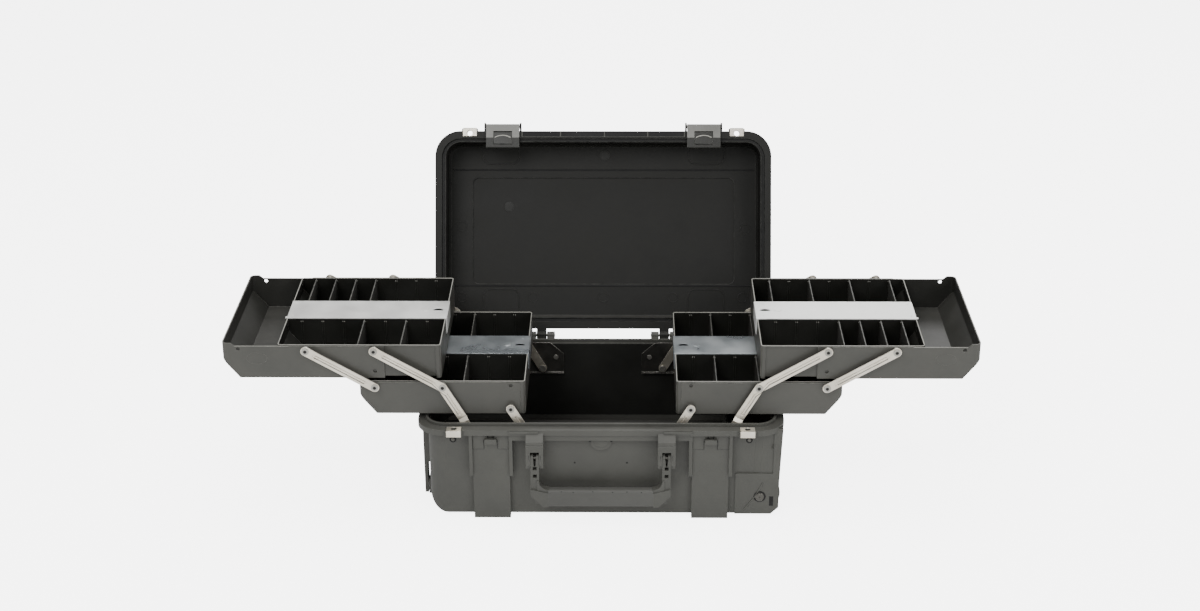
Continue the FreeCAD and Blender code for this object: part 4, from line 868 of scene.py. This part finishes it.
# painted shade standing in for the slots in the columns
def columnSlots(shape):
    half = columnSlot["half"]
    (y0, y1), (z0, z1) = columnSlot["y"], columnSlot["z"]
    for x in (-column["x"], column["x"]):
        for off in columnSlot["x"]:
            addBlock(shape, at(x + off - half, y0, z0), at(x + off + half, y1, z1), 0.2)


def flangeStrips(shape):
    (y0, y1), (z0, z1) = flangeStrip["y"], flangeStrip["z"]
    for x0, x1 in flangeStrip["x"]:
        addBlock(shape, at(x0, y0, z0), at(x1, y1, z1), flangeStrip["rounding"])


# the seams are painted shade, standing for the shadow in the column's seam lines
def columnSeams(shape):
    for x in (-column["x"], column["x"]):
        addRidge(shape, [at(a, column["face"], b) for a, b in archPath(x)], (0, -1, 0),
                 *column["seam"])
        for off in (-1, 1):
            path = [at(x + off * reach, column["face"] + 0.4, column["low"])
                    for reach in (column["archHalf"], column["half"])]
            addRidge(shape, path, (0, -1, 0), *column["footSeam"])


def lugCaps(shape):  # the lugs run up into the flange
    for x in (-lugs["x"], lugs["x"]):
        addPrism(shape, lugs["cap"], "x", x - lugs["half"], x + lugs["half"])


def panelScrews(shape):
    for x, z in screws["places"]:
        addDisc(shape, onFront(x, z) + at(0, -0.4, 0), "y", screws["radius"], -screws["rise"], 20)


# painted shade in the rings around the screws and the axle
def screwWells(shape):
    wells = [(x, z, screws["well"], -152.0) for x, z in screws["places"]]
    wells.append((*screws["axle"], screws["axleWell"], -158.0))
    for x, z, outer, y in wells:
        spot = onFront(x + outer, z, y)
        addRing(shape, Vector((x * mm, spot.y + 0.2 * mm, z * mm)), "y", outer,
                outer - screws["wellWidth"], -screws["wellRise"])


# painted shade in the valve notches
def valveNotches(shape):
    for sign in (-1, 1):
        addPrism(shape, [(sign * a, b) for a, b in valveNotch["outline"]], "y", *valveNotch["y"])


def endPanels(shape):  # closes the corner between the end wall and the wheel housings
    for sign in (-1, 1):
        addPrism(shape, [(a, sign * b) for a, b in endPanel["outline"]], "z", *endPanel["z"])


# painted shade in the grooves on the lugs
def lugGrooves(shape):
    for x in (-lugs["x"], lugs["x"]):
        for off in lugs["grooves"]:
            path = [onFront(x + off, z, lugs["front"]) for z in lugs["grooveZ"]]
            path = [point for point in path if point.y < lugs["face"] * mm]
            if len(path) > 1:
                addRidge(shape, path, (0, -1, 0), lugs["width"], lugs["rise"])


# painted shade in the small dots on the front
def frontDots(shape):
    for x, z in dots["case"]:
        addDisc(shape, onFront(x, z) + at(0, dots["sink"], 0), "y", 1.5, -0.35, 12)


# painted shade in the dots on the grip
def gripDots(shape):
    for x, z in dots["grip"]:
        spot = onFront(x, z, -179.0, "front_handle_grip")
        addDisc(shape, spot + at(0, dots["sink"], 0), "y", 0.9, -0.3, 10)


def wheelCrease(shape):
    addRidge(shape, [onFront(x, z, housing["front"]) for x, z in housing["crease"]],
             (0, -1, 0), housing["width"], housing["rise"])


# painted shade in the slot of the wheel housing
def housingSlot(shape):
    (halfX, halfZ), (y0, y1) = housing["slotHalf"], housing["slotY"]
    centre = onFront(*housing["slot"], housing["front"])
    addBlock(shape, centre + at(-halfX, y0, -halfZ), centre + at(halfX, y1, halfZ), 0.2)


def rearRibs(shape):
    wide, slim = rearRib["half"]
    for x in rearRib["x"]:
        y = settle("base_shell", at(x, 158.0, 100.0), (0, -1, 0)).y / mm
        root = y - rearRib["sink"]
        addHull(shape, [[at(x - wide, root, z), at(x + wide, root, z),
                         at(x + slim, y + reach, z), at(x - slim, y + reach, z)]
                        for z, reach in rearRib["steps"]])


for name, build, paint in (
        ("column_pads", columnPads, None), ("column_slots", columnSlots, "dark_hole"),
        ("flange_strips", flangeStrips, None), ("column_seams", columnSeams, "painted_shade_plastic"),
        ("lug_caps", lugCaps, None), ("panel_screws", panelScrews, "dark_steel_and_painted_shade"),
        ("screw_wells", screwWells, "dark_hole"), ("valve_notches", valveNotches, "dark_hole"),
        ("end_panels", endPanels, None), ("lug_grooves", lugGrooves, "painted_shade_plastic"),
        ("front_dots", frontDots, "dark_hole"), ("wheel_crease", wheelCrease, None),
        ("housing_slot", housingSlot, "dark_hole"), ("rear_ribs", rearRibs, None)):
    slotName = "fastener_steel" if build is panelScrews else "case_plastic"
    newPiece(f"case_{name}", "case", slotName, build, paint)
newPiece("handle_grip_dots", "front_handle", "grip_rubber", gripDots, "dark_hole")

print("stage: arm, bar, handle and latch details")
pivots = {  # |x| and z of each rivet, and the arms it belongs to
    "longMiddle": (238.95, 214.48, "long_arms"), "longOuter": (340.45, 274.48, "long_arms"),
    "lowerNear": (136.45, 178.48, "lower_short_arms"),
    "upperFar": (442.95, 274.48, "upper_short_arms"),
    "lowerFar": (341.45, 214.48, "upper_short_arms"),
}
lowerFoot = (99.45, 113.98)
eyes = {"radius": 3.1, "rise": 0.12, "core": 1.9, "coreRise": 0.24, "offset": 0.3,
        "outside": 150.0}
beads = {"width": 3.6, "rise": 1.1, "line": 1.0, "lineRise": 0.25, "lineGap": 2.5,
         "outside": 146.0}


def rivetTop(side, owner, x, z, row):  # the rivet head or the arm, whichever stands higher
    tops = []
    for node in (f"{side}_lower_tray_rivets", f"{side}_upper_tray_rivets", f"{side}_{owner}"):
        spot = settle(node, at(sides[side] * (x + eyes["offset"]), row * eyes["outside"],
                               z + eyes["offset"]), (0, -row, 0))
        if abs(spot.y) < (eyes["outside"] - 0.1) * mm:
            tops.append(abs(spot.y) / mm)
    return row * max(tops)


def rivetEyes(side, arms, radius, rise):
    def build(shape):
        for x, z, owner in pivots.values():
            if owner != arms:
                continue
            for row in (-1, 1):
                centre = at(sides[side] * x, rivetTop(side, owner, x, z, row), z)
                addDisc(shape, centre, "y", radius, row * rise, 16)
    return build


def onArm(side, arms, x, z, row):
    return settle(f"{side}_{arms}", at(sides[side] * x, row * beads["outside"], z), (0, -row, 0))


def armBeads(side, arms, path):
    def build(shape):
        for row in (-1, 1):
            addRidge(shape, [onArm(side, arms, x, z, row) for x, z in path], (0, row, 0),
                     beads["width"], beads["rise"])
    return build


def armLines(side, arms, path):  # shaded flank of the pressed bead
    flank = []
    for i, (x, z) in enumerate(path):
        before = path[max(0, i - 1)]
        after = path[min(len(path) - 1, i + 1)]
        along = Vector((after[0] - before[0], after[1] - before[1])).normalized()
        shift = Vector((along.y, -along.x)) * beads["lineGap"]
        shift = -shift if shift.y > 0 else shift
        flank.append((x + shift.x, z + shift.y))

    def build(shape):
        for row in (-1, 1):
            addRidge(shape, [onArm(side, arms, x, z, row) for x, z in flank], (0, row, 0),
                     beads["line"], beads["lineRise"])
    return build


def between(start, end, first, last, steps=6):
    parts = [first + (last - first) * i / steps for i in range(steps + 1)]
    return [(start[0] + (end[0] - start[0]) * part, start[1] + (end[1] - start[1]) * part)
            for part in parts]


armPaths = {
    "long_arm": between(pivots["longOuter"], pivots["longMiddle"], 0.13, 0.86)
    + [(240.5, 209.0), (233.0, 203.0)] + between((232.0, 201.0), (204.0, 152.0), 0.1, 0.62, 3),
    "lower_short_arm": between(pivots["lowerNear"], lowerFoot, 0.17, 0.52),
    "upper_short_arm": between(pivots["upperFar"], pivots["lowerFar"], 0.14, 0.86),
}
armMarks = (("long_arm", "beads"), ("long_arm", "lines"), ("upper_short_arm", "lines"),
            ("lower_short_arm", "beads"), ("upper_short_arm", "beads"))
for side in sides:
    for arm, mark in armMarks:
        # the bead lines are painted shade on the flank of the pressed bead
        make, paint = (armBeads, None) if mark == "beads" else (armLines, "dark_steel_and_painted_shade")
        newPiece(f"{side}_{arm}_{mark}", f"{side}_{arm}s", "plated_steel",
                 make(side, f"{arm}s", armPaths[arm]), paint)
    for arms in ("long_arms", "lower_short_arms", "upper_short_arms"):
        # the rivet eyes are painted shade in the holes around the rivets
        newPiece(f"{side}_{arms}_rivet_eyes", f"{side}_{arms}", "plated_steel",
                 rivetEyes(side, arms, eyes["radius"], eyes["rise"]), "dark_steel_and_painted_shade")
        # the rivet cores are painted shade deep in the holes
        newPiece(f"{side}_{arms}_rivet_cores", f"{side}_{arms}", "plated_steel",
                 rivetEyes(side, arms, eyes["core"], eyes["coreRise"]), "dark_hole")

barMarks = {"fromEnd": 36.0, "radius": 5.4, "rise": 0.35, "wall": 0.72, "sink": 0.05,
            "holeX": (12.0, 240.0), "holeY": (22.0, -22.0), "holeRadius": 1.6}
handleCorner = {"outer": 93.8, "inner": 79.2, "foot": 53.0, "turnFrom": 60.0, "radius": 15.0,
                "front": -177.4, "back": -165.0}
latchMark = {"half": 13.0, "bulge": 3.0, "width": 1.8, "rise": 0.9, "height": 10.5,
             "front": -6.0}


def barEmboss(side, level):
    def build(shape):
        bar = f"{side}_{level}_tray_bar"
        low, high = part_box(bar)
        sign = sides[side]
        inner = min(abs(low.x), abs(high.x)) / mm
        top = settle(bar, at(sign * (inner + 120.0), 0.0, high.z / mm + 4.0), (0, 0, -1)).z / mm
        rings = [(barMarks["fromEnd"], 0.0, barMarks["radius"])]
        rings += [(x, y, barMarks["holeRadius"]) for x in barMarks["holeX"]
                  for y in barMarks["holeY"]]
        for x, y, radius in rings:
            addRing(shape, at(sign * (inner + x), y, top - barMarks["sink"]), "z", radius,
                    radius * barMarks["wall"], barMarks["rise"], 24)
    return build


def handleCorners(shape):
    radius, outer, foot = handleCorner["radius"], handleCorner["outer"], handleCorner["foot"]
    turnX, turnZ = outer - radius, handleCorner["turnFrom"] + radius
    outline = [(handleCorner["inner"], foot), (handleCorner["inner"], handleCorner["turnFrom"])]
    for step in range(9):
        turn = math.radians(-90 + 90 * step / 8)
        outline.append((turnX + radius * math.cos(turn), turnZ + radius * math.sin(turn)))
    outline += [(outer + 3.0, turnZ + 2.0), (outer + 3.0, foot)]
    for sign in (-1, 1):
        addPrism(shape, [(sign * a, b) for a, b in outline], "y", handleCorner["front"],
                 handleCorner["back"])


# painted highlight: the curved bright line on the latch trigger
def latchArc(side):
    def build(shape):
        trigger = f"{side}_latch_trigger"
        low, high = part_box(trigger)
        middle = (low.x + high.x) / 2 / mm
        path = []
        for i in range(9):
            share = -1 + i / 4
            z = low.z / mm + latchMark["height"] + latchMark["bulge"] * (1 - share * share)
            path.append(onFront(middle + share * latchMark["half"], z,
                                low.y / mm + latchMark["front"], trigger))
        addRidge(shape, path, (0, -1, 0), latchMark["width"], latchMark["rise"])
    return build


for side in sides:
    newPiece(f"{side}_lower_bar_emboss", f"{side}_lower_tray", "lower_bar_steel",
             barEmboss(side, "lower"))
    newPiece(f"{side}_upper_bar_emboss", f"{side}_upper_insert", "upper_bar_aluminium",
             barEmboss(side, "upper"))
newPiece("front_handle_corners", "front_handle", "case_plastic", handleCorners)
for side in sides:
    newPiece(f"{side}_latch_arc", f"{side}_latch_trigger", "latch_plastic", latchArc(side),
             "painted_rim_highlight")
